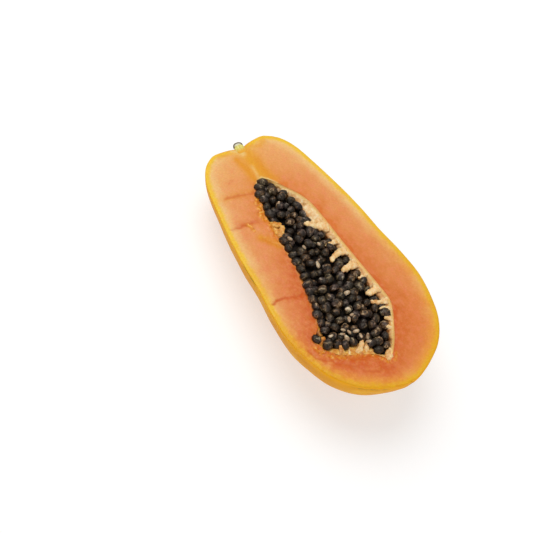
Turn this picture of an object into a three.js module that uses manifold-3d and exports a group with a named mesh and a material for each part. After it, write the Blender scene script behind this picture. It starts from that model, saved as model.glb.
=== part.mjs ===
// Papaya half: a ripe papaya cut lengthwise, lying on its back with the cut face up.
// Millimetres, +Z up. X runs from the stem end (-X) to the blossom end (+X).
import * as THREE from 'three';
import { mergeVertices } from 'three/addons/utils/BufferGeometryUtils.js';
import Module from 'manifold-3d';

const wasm = await Module();
wasm.setup();
const { Manifold, Mesh } = wasm;
const { clamp, smoothstep } = THREE.MathUtils;

// ---- Driving dimensions --------------------------------------------------------------------------

const FRUIT_LENGTH = 215;
const GAP = 0.3;                    // clearance between neighbouring pieces
const BIG = 2 * FRUIT_LENGTH;       // half size of the cutting boxes

// The fruit's outline, as shares of its length: [radius, distance from the stem end]. It starts in
// the dimple at the stem, goes over the shoulder and ends in the scar at the blossom end.
const OUTLINE = [
  [0.0000, 0.0150], [0.0280, 0.0035], [0.0510, -0.0015], [0.0720, -0.0040], [0.0900, -0.0048],
  [0.1090, 0.0000], [0.1370, 0.0185], [0.1610, 0.0470], [0.1845, 0.1000], [0.2060, 0.2000],
  [0.2242, 0.3000], [0.2365, 0.4000], [0.2432, 0.5000], [0.2555, 0.6000], [0.2585, 0.7000],
  [0.2375, 0.8000], [0.2080, 0.8700], [0.1580, 0.9300], [0.0950, 0.9700], [0.0420, 0.9930],
  [0.0160, 0.9975], [0.0000, 0.9955],
];
const OUTLINE_STEPS = 42;
const ROUND_STEPS = 56;
const LOBES = 5;                    // shallow ribs along the fruit
const LOBE_SHARE = 0.008;           // their height as a share of the radius
const BODY_DEPTH_SHARE = 0.965;     // depth of the half over its half width

// The rims of the seed hollow in the cut face: [distance from the stem end, sideways].
const RIM_RIGHT = [
  [31.5, 0.0], [37.0, 5.5], [48.0, 12.6], [57.0, 17.6], [67.0, 20.4], [85.0, 21.5],
  [105.0, 22.0], [125.0, 23.0], [150.0, 24.3], [158.5, 23.6], [166.5, 19.8], [181.5, 10.0],
  [190.0, 2.7], [195.5, -3.4],
];
const RIM_LEFT = [
  [31.5, 0.0], [36.0, -7.4], [50.0, -12.0], [68.0, -16.6], [100.0, -18.8], [128.0, -25.0],
  [149.5, -31.5], [158.0, -39.8], [166.5, -38.9], [174.5, -32.5], [181.0, -21.0], [186.5, -9.8],
  [195.5, -3.4],
];
const RIM_ACCURACY = 400;           // divisions that measure a rim's length
const HOLLOW_DEPTH_SHARE = 0.95;    // depth of the hollow over its half width
const HOLLOW_STEPS = 36;
const HOLLOW_ROUND_STEPS = 24;

const LINING_THICKNESS = 1.7;
const FINGER_COUNT = 17;            // fingers of the lining along each wall
const FINGER_SPAN = [0.08, 0.92];   // the stretch of a wall that carries them
const FINGER_RADIUS = 1.35;
const FINGER_TIP_SHARE = 0.7;       // radius at the tip over the radius at the root
const FINGER_LENGTH = 7.5;
const FINGER_LENGTH_SHARE = 0.5;    // most of the half width that a finger takes up
const FINGER_ROOT = 0.4;            // how far a finger reaches into the lining
const FINGER_DEPTH = 5.5;           // its root's depth under the cut face
const FINGER_DEPTH_SHARE = 0.4;     // most of the hollow's depth that this may be
const FINGER_VARIATION = 0.25;      // how much lengths and depths differ
const FINGER_DROOP = 0.3;           // fall of a finger over its length
const FINGER_SIDES = 5;
const FINGER_DRAW = 77;

const SEED_LENGTH = 7.1;
const SEED_WIDTH = 5.3;
const SEED_FACET_ALLOWANCE = 1.1;   // makes up for the few faces of a seed
const SEED_SPACINGS = [6.5, 6.0, 5.5, 5.1];  // least distances, tried one after the other
const SEED_TRIES = 1500;            // at each distance
const SEED_ALONG = [0.025, 0.96];   // the stretch of the hollow that holds seeds
const SEED_ACROSS = [0.05, 0.93];
const SEED_TILT = 0.5;              // most that a seed leans, in radians
const SEED_JITTER = 0.8;            // most that a seed stands above or below its neighbours
const SEED_DRAW = 20241;

const HEAP_LEFT = 0.4;              // height of the seeds' centres along the left rim
const HEAP_RIGHT = -6.6;            // and along the right wall
const HEAP_FALL = [0.52, 0.98];     // where across the hollow the heap falls off
const CLUMP_COUNT = 7;              // waves of the heap along the right wall
const CLUMP_HEIGHT = 1.6;
const STEM_END = [0, 0.12];         // the ends of the hollow, where the heap is lower
const STEM_DROP = 2.2;
const BLOSSOM_END = [0.88, 1];
const BLOSSOM_DROP = 3.6;

const SEED_ROOM = LINING_THICKNESS + 2.3 * GAP;  // inset of the room that the seeds keep to
const CORE_DROP = 0.5;              // the core's top under the seeds' centres
const CORE_TOP_SHARE = 0.8;         // most of the hollow's depth that the core leaves open
const CORE_INSET = LINING_THICKNESS + 5 * GAP;  // the core is coarser than the lining round it
const CORE_STEPS = 20;
const CORE_ROUND_STEPS = 14;

// The stem's stub: [radius, distance from the stem end], from its foot to its round top.
const STUB_PROFILE = [
  [0.0, 6.6], [3.5, 6.6], [3.5, 2.5], [3.6, 0.5], [3.9, -0.8], [3.7, -2.0], [2.8, -3.0],
  [1.5, -3.5], [0.0, -3.6],
];
const STUB_SIDES = 24;
const SOCKET_RADIUS = STUB_PROFILE[1][0] + GAP;
const SOCKET_FLOOR = STUB_PROFILE[1][1] + GAP;

const REST_TILT = 5.2;              // slope of the cut face in degrees when the half lies on its back
const FLAT_SLICE = 0.7;             // height that the flat spot takes off the round back

// ---- From geometry to solid and back --------------------------------------------------------------

function toSolid(geometry) {
  const bare = geometry.clone();
  bare.deleteAttribute('normal');
  bare.deleteAttribute('uv');
  const merged = mergeVertices(bare, 1e-4);
  return new Manifold(new Mesh({
    numProp: 3,
    vertProperties: new Float32Array(merged.attributes.position.array),
    triVerts: new Uint32Array(merged.index.array),
  }));
}

function toMesh(name, solid, look) {
  const { vertProperties, triVerts } = solid.getMesh();
  const geometry = new THREE.BufferGeometry();
  geometry.setAttribute('position', new THREE.BufferAttribute(vertProperties, 3));
  geometry.setIndex(new THREE.BufferAttribute(triVerts, 1));
  geometry.computeVertexNormals();
  const mesh = new THREE.Mesh(geometry, new THREE.MeshStandardMaterial({ metalness: 0, ...look }));
  mesh.name = name;
  return mesh;
}

/** Moves every vertex of a geometry by a rule, which changes the point that it is given. */
function warp(geometry, rule) {
  const position = geometry.attributes.position;
  const point = new THREE.Vector3();
  for (let i = 0; i < position.count; i += 1) {
    rule(point.fromBufferAttribute(position, i));
    position.setXYZ(i, point.x, point.y, point.z);
  }
  return geometry;
}

/** A solid of revolution about the X axis, from a profile of [radius, x] points. */
function turned(profile, sides) {
  const points = profile.map(([radius, x]) => new THREE.Vector2(radius, x));
  return new THREE.LatheGeometry(points, sides).rotateZ(-Math.PI / 2);
}

/** A box that fills the space from one height to another, far past the fruit. */
function slab(low, high) {
  return toSolid(new THREE.BoxGeometry(2 * BIG, 2 * BIG, high - low).translate(0, 0, (low + high) / 2));
}

/** The part of a solid that holds together, without the loose scraps that a cut leaves. */
function largestBody(solid) {
  return solid.decompose().reduce((best, piece) => (piece.volume() > best.volume() ? piece : best));
}

/** A repeatable draw of numbers from 0 to 1, by a linear congruential rule. */
function randomDraw(start) {
  const modulus = 2 ** 32;
  let state = start;
  return () => {
    state = (state * 1664525 + 1013904223) % modulus;
    return state / modulus;
  };
}

const between = ([low, high], share) => low + (high - low) * share;
const belowCut = slab(-BIG, 0);
const aboveCut = slab(GAP, BIG);

// ---- The fruit's body -----------------------------------------------------------------------------

function fruitBody() {
  const outline = new THREE.SplineCurve(OUTLINE.map(([radius, x]) => new THREE.Vector2(radius, x)));
  const profile = outline.getSpacedPoints(OUTLINE_STEPS).map((point, i) => {
    const onAxis = i === 0 || i === OUTLINE_STEPS;
    return [onAxis ? 0 : point.x * FRUIT_LENGTH, point.y * FRUIT_LENGTH];
  });
  return toSolid(warp(turned(profile, ROUND_STEPS), (point) => {
    const rib = 1 + LOBE_SHARE * Math.sin(LOBES * Math.atan2(point.z, point.y));
    point.y *= rib;
    point.z *= rib * BODY_DEPTH_SHARE;
  }));
}

// ---- The seed hollow ------------------------------------------------------------------------------

function rimCurve(points) {
  const curve = new THREE.SplineCurve(points.map(([x, y]) => new THREE.Vector2(x, y)));
  curve.arcLengthDivisions = RIM_ACCURACY;
  return curve;
}

const rimLeft = rimCurve(RIM_LEFT);
const rimRight = rimCurve(RIM_RIGHT);
const hollowStart = RIM_LEFT[0][0];
const hollowEnd = RIM_LEFT.at(-1)[0];
const hollowMiddle = (hollowStart + hollowEnd) / 2;
const hollowHalfLength = (hollowEnd - hollowStart) / 2;

/** The rung across the hollow at a share of its length, drawn in by an inset from both rims. */
function rung(share, inset) {
  const left = rimLeft.getPointAt(share);
  const right = rimRight.getPointAt(share);
  const middle = new THREE.Vector2().addVectors(left, right).multiplyScalar(0.5);
  const half = new THREE.Vector2().subVectors(right, left).multiplyScalar(0.5);
  middle.x = hollowMiddle + (middle.x - hollowMiddle) * (1 - inset / hollowHalfLength);
  half.setLength(Math.max(half.length() - inset, 0));
  return { middle, half, depth: HOLLOW_DEPTH_SHARE * half.length() };
}

/** Warps a ball by a rule of its share along the hollow and of its place in the section there. */
function warpedBall(roundSteps, steps, rule) {
  const ball = new THREE.SphereGeometry(1, roundSteps, steps).rotateZ(Math.PI / 2);
  return toSolid(warp(ball, (point) => {
    const radius = Math.hypot(point.y, point.z) || 1;
    rule(point, clamp((1 + point.x) / 2, 0, 1), point.y / radius, point.z / radius);
  }));
}

/** The form of the hollow: half-round sections on its rungs, closed above the cut face too. */
function hollowForm(inset) {
  return warpedBall(HOLLOW_ROUND_STEPS, HOLLOW_STEPS, (point, share, across, up) => {
    const { middle, half, depth } = rung(share, inset);
    point.set(middle.x + half.x * across, middle.y + half.y * across, depth * up);
  });
}

// ---- The lining and its fingers ---------------------------------------------------------------------

/** One finger: a tapered peg from the wall into the hollow. Side is 1 on the right, -1 on the left. */
function finger(share, side, variation, grow) {
  const { middle, half, depth } = rung(share, GAP + LINING_THICKNESS - FINGER_ROOT);
  const drop = Math.min(FINGER_DEPTH * variation, FINGER_DEPTH_SHARE * depth);
  const wall = side * Math.sqrt(1 - (drop / depth) ** 2);
  const root = new THREE.Vector3(middle.x + wall * half.x, middle.y + wall * half.y, -drop);
  const inwards = new THREE.Vector3(-side * half.x, -side * half.y, -FINGER_DROOP * half.length());
  const length = Math.min(FINGER_LENGTH * variation, FINGER_LENGTH_SHARE * half.length()) + grow;
  const peg = new THREE.CylinderGeometry(
    FINGER_TIP_SHARE * FINGER_RADIUS + grow, FINGER_RADIUS + grow, length, FINGER_SIDES,
  ).translate(0, length / 2, 0);
  const turn = new THREE.Quaternion().setFromUnitVectors(new THREE.Vector3(0, 1, 0), inwards.normalize());
  return toSolid(peg.applyQuaternion(turn).translate(root.x, root.y, root.z));
}

function fingers(grow) {
  const draw = randomDraw(FINGER_DRAW);
  const pegs = [];
  for (const side of [-1, 1]) {
    for (let i = 0; i < FINGER_COUNT; i += 1) {
      const variation = 1 + FINGER_VARIATION * (2 * draw() - 1);
      pegs.push(finger(between(FINGER_SPAN, i / (FINGER_COUNT - 1)), side, variation, grow));
    }
  }
  return Manifold.union(pegs);
}

function placenta() {
  const bowl = hollowForm(GAP).subtract(hollowForm(GAP + LINING_THICKNESS));
  return bowl.intersect(belowCut).add(fingers(0).intersect(hollowForm(GAP)));
}

// ---- The seeds ------------------------------------------------------------------------------------

/** Height of the heap over a point of the hollow, by its shares along and across. */
function heapHeight(along, across) {
  const fall = smoothstep(across, ...HEAP_FALL);
  const right = HEAP_RIGHT + CLUMP_HEIGHT * Math.sin(2 * Math.PI * CLUMP_COUNT * along);
  const stemDrop = STEM_DROP * (1 - smoothstep(along, ...STEM_END));
  const blossomDrop = BLOSSOM_DROP * smoothstep(along, ...BLOSSOM_END);
  return HEAP_LEFT + (right - HEAP_LEFT) * fall - stemDrop - blossomDrop;
}

function seedPlaces() {
  const draw = randomDraw(SEED_DRAW);
  const places = [];
  for (const spacing of SEED_SPACINGS) {
    for (let i = 0; i < SEED_TRIES; i += 1) {
      const along = between(SEED_ALONG, draw());
      const across = between(SEED_ACROSS, draw());
      const { middle, half } = rung(along, GAP);
      const centre = new THREE.Vector3(
        middle.x + half.x * (2 * across - 1),
        middle.y + half.y * (2 * across - 1),
        heapHeight(along, across) + SEED_JITTER * (2 * draw() - 1),
      );
      const leans = [SEED_TILT * (2 * draw() - 1), SEED_TILT * (2 * draw() - 1), Math.PI * draw()];
      if (places.every((other) => other.centre.distanceTo(centre) >= spacing)) {
        places.push({ centre, turn: new THREE.Euler(...leans, 'ZYX') });
      }
    }
  }
  return places;
}

function seed({ centre, turn }) {
  const grain = new THREE.IcosahedronGeometry(SEED_FACET_ALLOWANCE / 2, 0);
  grain.scale(SEED_LENGTH, SEED_WIDTH, SEED_WIDTH);
  grain.applyQuaternion(new THREE.Quaternion().setFromEuler(turn));
  return toSolid(grain.translate(centre.x, centre.y, centre.z));
}

/** The core under the seeds: the hollow's form, with its top following the heap. */
function core() {
  return warpedBall(CORE_ROUND_STEPS, CORE_STEPS, (point, share, across, up) => {
    const { middle, half, depth } = rung(share, CORE_INSET);
    const top = Math.max(heapHeight(share, (1 + across) / 2) - CORE_DROP, -CORE_TOP_SHARE * depth);
    const rise = (depth + top) * Math.min(up, 0);
    point.set(middle.x + half.x * across, middle.y + half.y * across, top + rise);
  });
}

function seedMass() {
  const heap = Manifold.union([core(), ...seedPlaces().map(seed)]);
  const room = hollowForm(SEED_ROOM).add(aboveCut);
  return largestBody(heap.intersect(room).subtract(fingers(GAP)));
}

// ---- The stem's stub --------------------------------------------------------------------------------

function stemStub() {
  return toSolid(turned(STUB_PROFILE.toReversed(), STUB_SIDES)).intersect(belowCut);
}

function socket() {
  const drill = new THREE.CylinderGeometry(SOCKET_RADIUS, SOCKET_RADIUS, 2 * SOCKET_FLOOR, STUB_SIDES);
  return toSolid(drill.rotateZ(Math.PI / 2));
}

// ---- The half on its back ---------------------------------------------------------------------------

const onItsBack = (solid) => solid.rotate([0, -REST_TILT, 0]);

const roundHalf = onItsBack(fruitBody().intersect(belowCut).subtract(hollowForm(0)).subtract(socket()));
const floor = roundHalf.boundingBox().min[2] + FLAT_SLICE;
const fleshHalf = roundHalf.intersect(slab(floor, BIG));
const stub = onItsBack(stemStub());

const group = new THREE.Group();
group.add(
  toMesh('flesh_half', fleshHalf, { color: 0xdf8f4f, roughness: 0.45 }),
  toMesh('placenta', onItsBack(placenta()), { color: 0xf0cf9c, roughness: 0.6 }),
  toMesh('seed_mass', onItsBack(seedMass()), { color: 0x25211f, roughness: 0.3 }),
  toMesh('stem_stub', stub, { color: 0xb9ae62, roughness: 0.8 }),
);

// The origin is under the middle of the whole half, on the surface that it lies on.
const { min, max } = fleshHalf.add(stub).boundingBox();
group.position.set(-(min[0] + max[0]) / 2, -(min[1] + max[1]) / 2, -floor);
group.updateMatrixWorld(true);

export default group;
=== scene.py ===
"""Dresses the papaya half: skin, cut flesh, lining of the seed hollow, seeds and stem stump.

Shapes are worked out in the fruit's own frame, in millimetres: x from the stem end along the
axis, y across, z out of the cut face. A Placement lays them on their back in the part's frame.
"""

import logging
import math
from dataclasses import dataclass, field
from enum import Enum
from typing import Callable, Sequence

import bmesh
import bpy
import numpy as np
from mathutils import Euler, Matrix, Vector, noise


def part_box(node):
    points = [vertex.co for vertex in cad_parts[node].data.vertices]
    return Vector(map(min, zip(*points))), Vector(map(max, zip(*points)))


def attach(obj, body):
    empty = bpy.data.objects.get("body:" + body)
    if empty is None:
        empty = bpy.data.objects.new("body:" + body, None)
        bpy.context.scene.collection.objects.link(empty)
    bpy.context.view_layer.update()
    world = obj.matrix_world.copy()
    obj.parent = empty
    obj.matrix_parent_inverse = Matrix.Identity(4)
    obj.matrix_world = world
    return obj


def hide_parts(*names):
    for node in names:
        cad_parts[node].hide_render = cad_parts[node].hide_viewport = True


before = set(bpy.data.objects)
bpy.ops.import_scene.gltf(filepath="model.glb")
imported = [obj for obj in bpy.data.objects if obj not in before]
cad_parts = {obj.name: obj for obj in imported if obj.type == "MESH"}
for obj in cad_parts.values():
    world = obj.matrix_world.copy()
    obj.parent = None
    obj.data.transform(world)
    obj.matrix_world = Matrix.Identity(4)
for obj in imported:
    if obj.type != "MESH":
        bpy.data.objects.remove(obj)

LOG = logging.getLogger("papaya_half")
MM = 0.001
WELD = 0.002  # vertices closer than this are one, in millimetres
SKIN, FLESH = 0, 1  # numbers of the half's materials
SEED, CORE = 0, 1  # and of the seeds'
# Beyond CLEAR the lining shows no painted shade or stain.
CLEAR = 5.0  # a distance from rim and seeds at which the lining is plain, in millimetres
TINY = 1e-9  # keeps a division away from nought

Array = np.ndarray
Number = Array | float
Pair = tuple[float, float]
Points = tuple[Pair, ...]
Triple = tuple[float, float, float]
Colour = tuple[float, float, float, float]
Stops = tuple[tuple[float, str], ...]  # the places and colours of a ramp
Cloud = tuple[float, ...]  # a soft noise: its scale, and as far as they differ, detail and roughness
Fade = tuple[float, ...]  # two values to ease between, and what they turn into, unless 0 and 1
Patches = tuple[Cloud, Fade]  # a cloud and how it is eased
Draw = Callable[[], float]
Rule = Callable[[Array, Array], Array]  # turns shares along and across into points
Mesh = bmesh.types.BMesh
Verts = Sequence[bmesh.types.BMVert]
Socket = bpy.types.NodeSocket


# ---- Small tools ----


def smoothstep(value: Number, low: float, high: float) -> Number:
    """Eases from 0 at low to 1 at high.

    Args:
        value: Number or array to ease.
        low: Where the result is 0.
        high: Where the result is 1.

    Returns:
        The eased number or array.
    """
    share = np.clip((value - low) / (high - low), 0.0, 1.0)
    return share * share * (3 - 2 * share)


def between(limits: Pair, share: Number) -> Number:
    """Gives the number at a share of the way between two limits."""
    return limits[0] + (limits[1] - limits[0]) * share


def random_draw(start: int) -> Draw:
    """Makes a repeatable draw of numbers from 0 to 1, by a linear congruential rule.

    Args:
        start: Number that the draw starts from.

    Returns:
        A function that gives the next number.
    """
    factor, step, modulus = 1664525, 1013904223, 2**32
    state = start

    def draw() -> float:
        """Gives the next number.

        Returns:
            The number.
        """
        nonlocal state
        state = (state * factor + step) % modulus
        return state / modulus

    return draw


def tint(code: str) -> Colour:
    """Turns a screen colour into linear light, by the sRGB rule.

    Args:
        code: The colour, such as "E6A06A".

    Returns:
        Linear red, green and blue, and an alpha of 1.
    """
    parts = [int(code[i : i + 2], 16) / 255 for i in (0, 2, 4)]
    linear = [p / 12.92 if p <= 0.04045 else ((p + 0.055) / 1.055) ** 2.4 for p in parts]
    return (*linear, 1.0)


@dataclass
class SmoothCurve:
    """A smooth plane curve through a few points, measured along its length."""

    points: Points
    divisions: int = 4000
    chords: int = 239
    places: Array = field(init=False)
    shares: Array = field(init=False)
    length: float = field(init=False)

    def __post_init__(self) -> None:
        """Samples the curve closely and measures it."""
        knots = np.array(self.points, float)
        last = len(knots) - 1
        steps = np.linspace(0, last, self.divisions)
        first = np.minimum(steps.astype(int), last - 1)
        before, after = np.maximum(first - 1, 0), np.minimum(first + 2, last)
        t = (steps - first)[:, None]
        start, end = knots[first], knots[first + 1]
        leave, arrive = (end - knots[before]) / 2, (knots[after] - start) / 2
        self.places = (
            (2 * start - 2 * end + leave + arrive) * t**3
            + (3 * end - 3 * start - 2 * leave - arrive) * t**2
            + leave * t
            + start
        )
        run = np.concatenate([[0], np.cumsum(np.linalg.norm(np.diff(self.places, axis=0), axis=1))])
        self.length = float(run[-1])
        self.shares = run / run[-1]

    def at(self, share: Number) -> Array:
        """Gives the points at shares of the curve's length, as an array of pairs."""
        return np.stack([np.interp(share, self.shares, self.places[:, k]) for k in (0, 1)], axis=-1)

    def distance(self, points: Array) -> Array:
        """Gives the distances of an array of pairs from the curve."""
        return distance_to_line(points, self.at(np.linspace(0, 1, self.chords + 1)))


def distance_to_line(points: Array, line: Array) -> Array:
    """Gives each point's distance from a line of straight stretches.

    Args:
        points: Array of pairs.
        line: Array of pairs, the line's corners.

    Returns:
        Array of distances.
    """
    nearest = np.full(len(points), np.inf)
    for start, end in zip(line[:-1], line[1:]):
        run = end - start
        share = np.clip((points - start) @ run / max(run @ run, TINY), 0, 1)
        gap = np.linalg.norm(points - start - share[:, None] * run, axis=1)
        nearest = np.minimum(nearest, gap)
    return nearest


def is_inside(points: Array, outline: Array) -> Array:
    """Tells which points lie inside a closed outline.

    Args:
        points: Array of pairs.
        outline: The outline's corners, the first one not repeated.

    Returns:
        Array of truth values.
    """
    inside = np.zeros(len(points), bool)
    for start, end in zip(outline, np.roll(outline, -1, axis=0)):
        if start[1] == end[1]:
            continue
        spans = (start[1] > points[:, 1]) != (end[1] > points[:, 1])
        crossing = start[0] + (points[:, 1] - start[1]) * (end[0] - start[0]) / (end[1] - start[1])
        inside ^= spans & (points[:, 0] < crossing)
    return inside


def gap_inside(points: Array, outline: SmoothCurve) -> Array:
    """Gives how far the points of the cut face lie from an outline of one side of the axis.

    Args:
        points: Points in space.
        outline: The outline, x and radius.

    Returns:
        The distances, nought for points off the cut face.
    """
    mirrored = np.column_stack([points[:, 0], np.abs(points[:, 1])])
    return np.where(points[:, 2] > -WELD, outline.distance(mirrored), 0)


# ---- Forms that the pieces share ----


@dataclass
class FruitForm:
    """The outer form of the fruit: a turned outline with shallow ribs."""

    length: float = 215.0
    lobes: int = 5
    lobe_share: float = 0.008
    depth_share: float = 0.965
    outline: Points = (
        (0.015, 0), (0.0035, 0.028), (-0.0015, 0.051), (-0.004, 0.072), (-0.0048, 0.09), (0, 0.109),
        (0.0185, 0.137), (0.047, 0.161), (0.1, 0.1845), (0.2, 0.206), (0.3, 0.2242), (0.4, 0.2365),
        (0.5, 0.2432), (0.6, 0.2555), (0.7, 0.2585), (0.8, 0.2375), (0.87, 0.208), (0.93, 0.158),
        (0.97, 0.095), (0.993, 0.042), (0.9975, 0.016), (0.9955, 0),
    )
    curve: SmoothCurve = field(init=False)

    def __post_init__(self) -> None:
        """Draws the outline at the fruit's length."""
        self.curve = SmoothCurve(tuple((x * self.length, r * self.length) for x, r in self.outline))

    def rib(self, y: float, z: float) -> float:
        """Gives the factor that the ribs put on the radius at a place round the axis."""
        return 1 + self.lobe_share * math.sin(self.lobes * math.atan2(z, y))


@dataclass
class Rungs:
    """Rungs across the seed hollow: their middles, half vectors and the hollow's depth there."""

    middle: Array
    half: Array
    depth: Array

    def point(self, across: Number) -> Array:
        """Gives points at places from -1, the left rim, to 1, the right one."""
        return self.middle + self.half * np.expand_dims(np.asarray(across, float), -1)


@dataclass
class HollowForm:
    """The form of the seed hollow: half-round sections hung on its two rims."""

    right: Points = (
        (31.5, 0), (37, 5.5), (48, 12.6), (57, 17.6), (67, 20.4), (85, 21.5), (105, 22), (125, 23),
        (150, 24.3), (158.5, 23.6), (166.5, 19.8), (181.5, 10), (190, 2.7), (195.5, -3.4),
    )
    left: Points = (
        (31.5, 0), (36, -7.4), (50, -12), (68, -16.6), (100, -18.8), (128, -25), (149.5, -31.5),
        (158, -39.8), (166.5, -38.9), (174.5, -32.5), (181, -21), (186.5, -9.8), (195.5, -3.4),
    )
    depth_share: float = 0.95
    rim_right: SmoothCurve = field(init=False)
    rim_left: SmoothCurve = field(init=False)

    def __post_init__(self) -> None:
        """Draws both rims."""
        self.rim_right = SmoothCurve(self.right)
        self.rim_left = SmoothCurve(self.left)

    def rim_gap(self, flat: Array) -> Array:
        """Gives the distances of points of the cut face from the nearer rim."""
        return np.minimum(self.rim_left.distance(flat), self.rim_right.distance(flat))

    def rungs(self, share: Number, inset: Number = 0.0) -> Rungs:
        """Gives the rungs at shares of the hollow's length.

        Args:
            share: Shares of the length.
            inset: How far the rungs are drawn in from both rims.

        Returns:
            The rungs.
        """
        left, right = self.rim_left.at(share), self.rim_right.at(share)
        middle, half = (left + right) / 2, (right - left) / 2
        start, end = self.left[0][0], self.left[-1][0]
        centre, reach = (start + end) / 2, (end - start) / 2
        middle[..., 0] = centre + (middle[..., 0] - centre) * (1 - inset / reach)
        width = np.linalg.norm(half, axis=-1)
        kept = np.maximum(width - inset, 0) / np.maximum(width, TINY)
        return Rungs(middle, half * kept[..., None], self.depth_share * width * kept)


@dataclass(frozen=True)
class Finger:
    """A pale finger of the lining: where it runs over the cut face, how thick and how orange it is."""

    points: Points
    width: float
    orange: float = 0.0


@dataclass
class SeedBed:
    """The bed of the seeds: what the pale banks of the lining leave open."""

    right: Points = (
        (32.8, 0.6), (36, 3.5), (40.5, 5.6), (46, 7.6), (52, 10.6), (60, 12.6), (68, 12.2), (74, 12.4),
        (80, 11), (88, 14.6), (96, 16.8), (104, 16.8), (112, 18.4), (120, 18.2), (130, 18.6), (140, 19),
        (150, 19.4), (158, 19.8), (164, 17.4), (170, 13.4), (177, 8.6), (182, 6.6), (187, 2.4), (189, -2),
    )
    left: Points = (
        (188, -6), (182, -8.4), (176.2, -11.2), (173.6, -14.8), (173.2, -20.5), (171.8, -26), (169.6, -31),
        (165.8, -36), (161, -39), (156, -39.4), (153.6, -36.8), (157.5, -35), (158, -32.6), (150, -30.8),
        (139, -28), (128, -24.4), (116, -20.4), (103, -18.4), (96, -17.8), (88, -17), (81, -16.3),
        (76.5, -12), (71.5, -8.6), (69, -14), (64.5, -15.2), (57, -12.6), (47, -11), (40.5, -9.6),
        (36, -6.3), (33.2, -1.6),
    )
    fingers: tuple[Finger, ...] = (
        Finger(((48.6, 12), (46.4, 9), (44.6, 6.6)), 3),
        Finger(((62, 20), (63.4, 15.4)), 3),
        Finger(((88, 21), (85, 14.5), (81.4, 9), (78.4, 4.6)), 4.6),
        Finger(((80, 20.4), (80.6, 13.6), (79.6, 9.4)), 3.6),
        Finger(((101, 21), (100.2, 14), (100.4, 8.4)), 2.6),
        Finger(((110, 21.4), (109.4, 14.6), (111, 8.4), (113.4, 4)), 4),
        Finger(((121.6, 21.8), (122.2, 14), (123, 7)), 4.4),
        Finger(((132, 23.6), (133, 18.4), (132.4, 14.6)), 2.6),
        Finger(((144.6, 24.4), (145.8, 17.2), (144.6, 11.8)), 4.4),
        Finger(((156.6, 23.8), (154.4, 17), (150.9, 11.8)), 3.2),
        Finger(((163.4, 21.8), (160.6, 17.8), (158.2, 14.4)), 2.4),
        Finger(((170, 17.8), (167.8, 14.8), (165.8, 12.6)), 2.6),
        Finger(((176, 14.2), (173.2, 11.6), (171.8, 9.6)), 2.4),
        Finger(((181, -19.4), (177.6, -16.2), (174.4, -12.2)), 3.4, 0.1),
        Finger(((182.6, -14), (178.3, -11.6), (175.4, -9.4)), 2.6, 0.3),
        Finger(((179, -25.6), (175.9, -24.3), (172.2, -22.4)), 1.2, 0.2),
        Finger(((176, -29.6), (172.5, -28.5), (170.2, -28.1)), 2.6, 0.8),
        Finger(((163.6, -38.4), (161.6, -36.4), (159.8, -34.2)), 3, 1),
        Finger(((195.2, -3.2), (192, -2.4), (187.6, -0.9)), 4.4, 0.2),
        Finger(((191.6, 2.2), (189.2, 1.8), (186.4, 1.2)), 3.2, 0.3),
        Finger(((66, -16), (70.6, -12.6), (72.4, -10)), 3.4, 1),
        Finger(((81, -16.6), (76.6, -13), (73.4, -9.6)), 4, 0.9),
    )
    outline: Array = field(init=False)

    def __post_init__(self) -> None:
        """Joins both sides into one outline."""
        self.outline = np.array(self.right + self.left)

    def clearance(self, points: Array) -> Array:
        """Measures how far points lie from the bed's edge.

        Args:
            points: Points of the cut face.

        Returns:
            Their distances from the edge, negative inside the bed.
        """
        closed = np.vstack([self.outline, self.outline[:1]])
        gap = distance_to_line(points, closed)
        return np.where(is_inside(points, self.outline), -gap, gap)

    def room(self, points: Array) -> Array:
        """Gives the distances of points of the cut face from the nearest finger's surface."""
        gaps = [distance_to_line(points, np.array(f.points)) - f.width / 2 for f in self.fingers]
        return np.min(gaps, axis=0)


@dataclass
class Placement:
    """How the half lies on its back in the part's frame."""

    rest_tilt: float = 5.2
    shift: Vector = field(default_factory=Vector)

    def tilt(self) -> Matrix:
        """Gives the turn from the fruit's frame, in millimetres, to metres on its back."""
        return Matrix.Rotation(-math.radians(self.rest_tilt), 4, "Y") @ Matrix.Scale(MM, 4)

    def matrix(self) -> Matrix:
        """Gives the whole move from the fruit's frame to the part's frame."""
        return Matrix.Translation(self.shift) @ self.tilt()

    def settle(self, points: Array, node: str) -> None:
        """Finds the shift that brings a form's top corner to the one of its solid.

        Args:
            points: The form's points in the fruit's frame.
            node: Name of the solid.
        """
        turn = np.array(self.tilt())[:3, :3]
        turned = points @ turn.T
        low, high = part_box(node)
        top = turned.max(0)
        side = (turned[:, 1].max() + turned[:, 1].min()) / 2
        self.shift = Vector((high.x - top[0], (high.y + low.y) / 2 - side, high.z - top[2]))


# ---- Shader nodes ----


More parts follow.
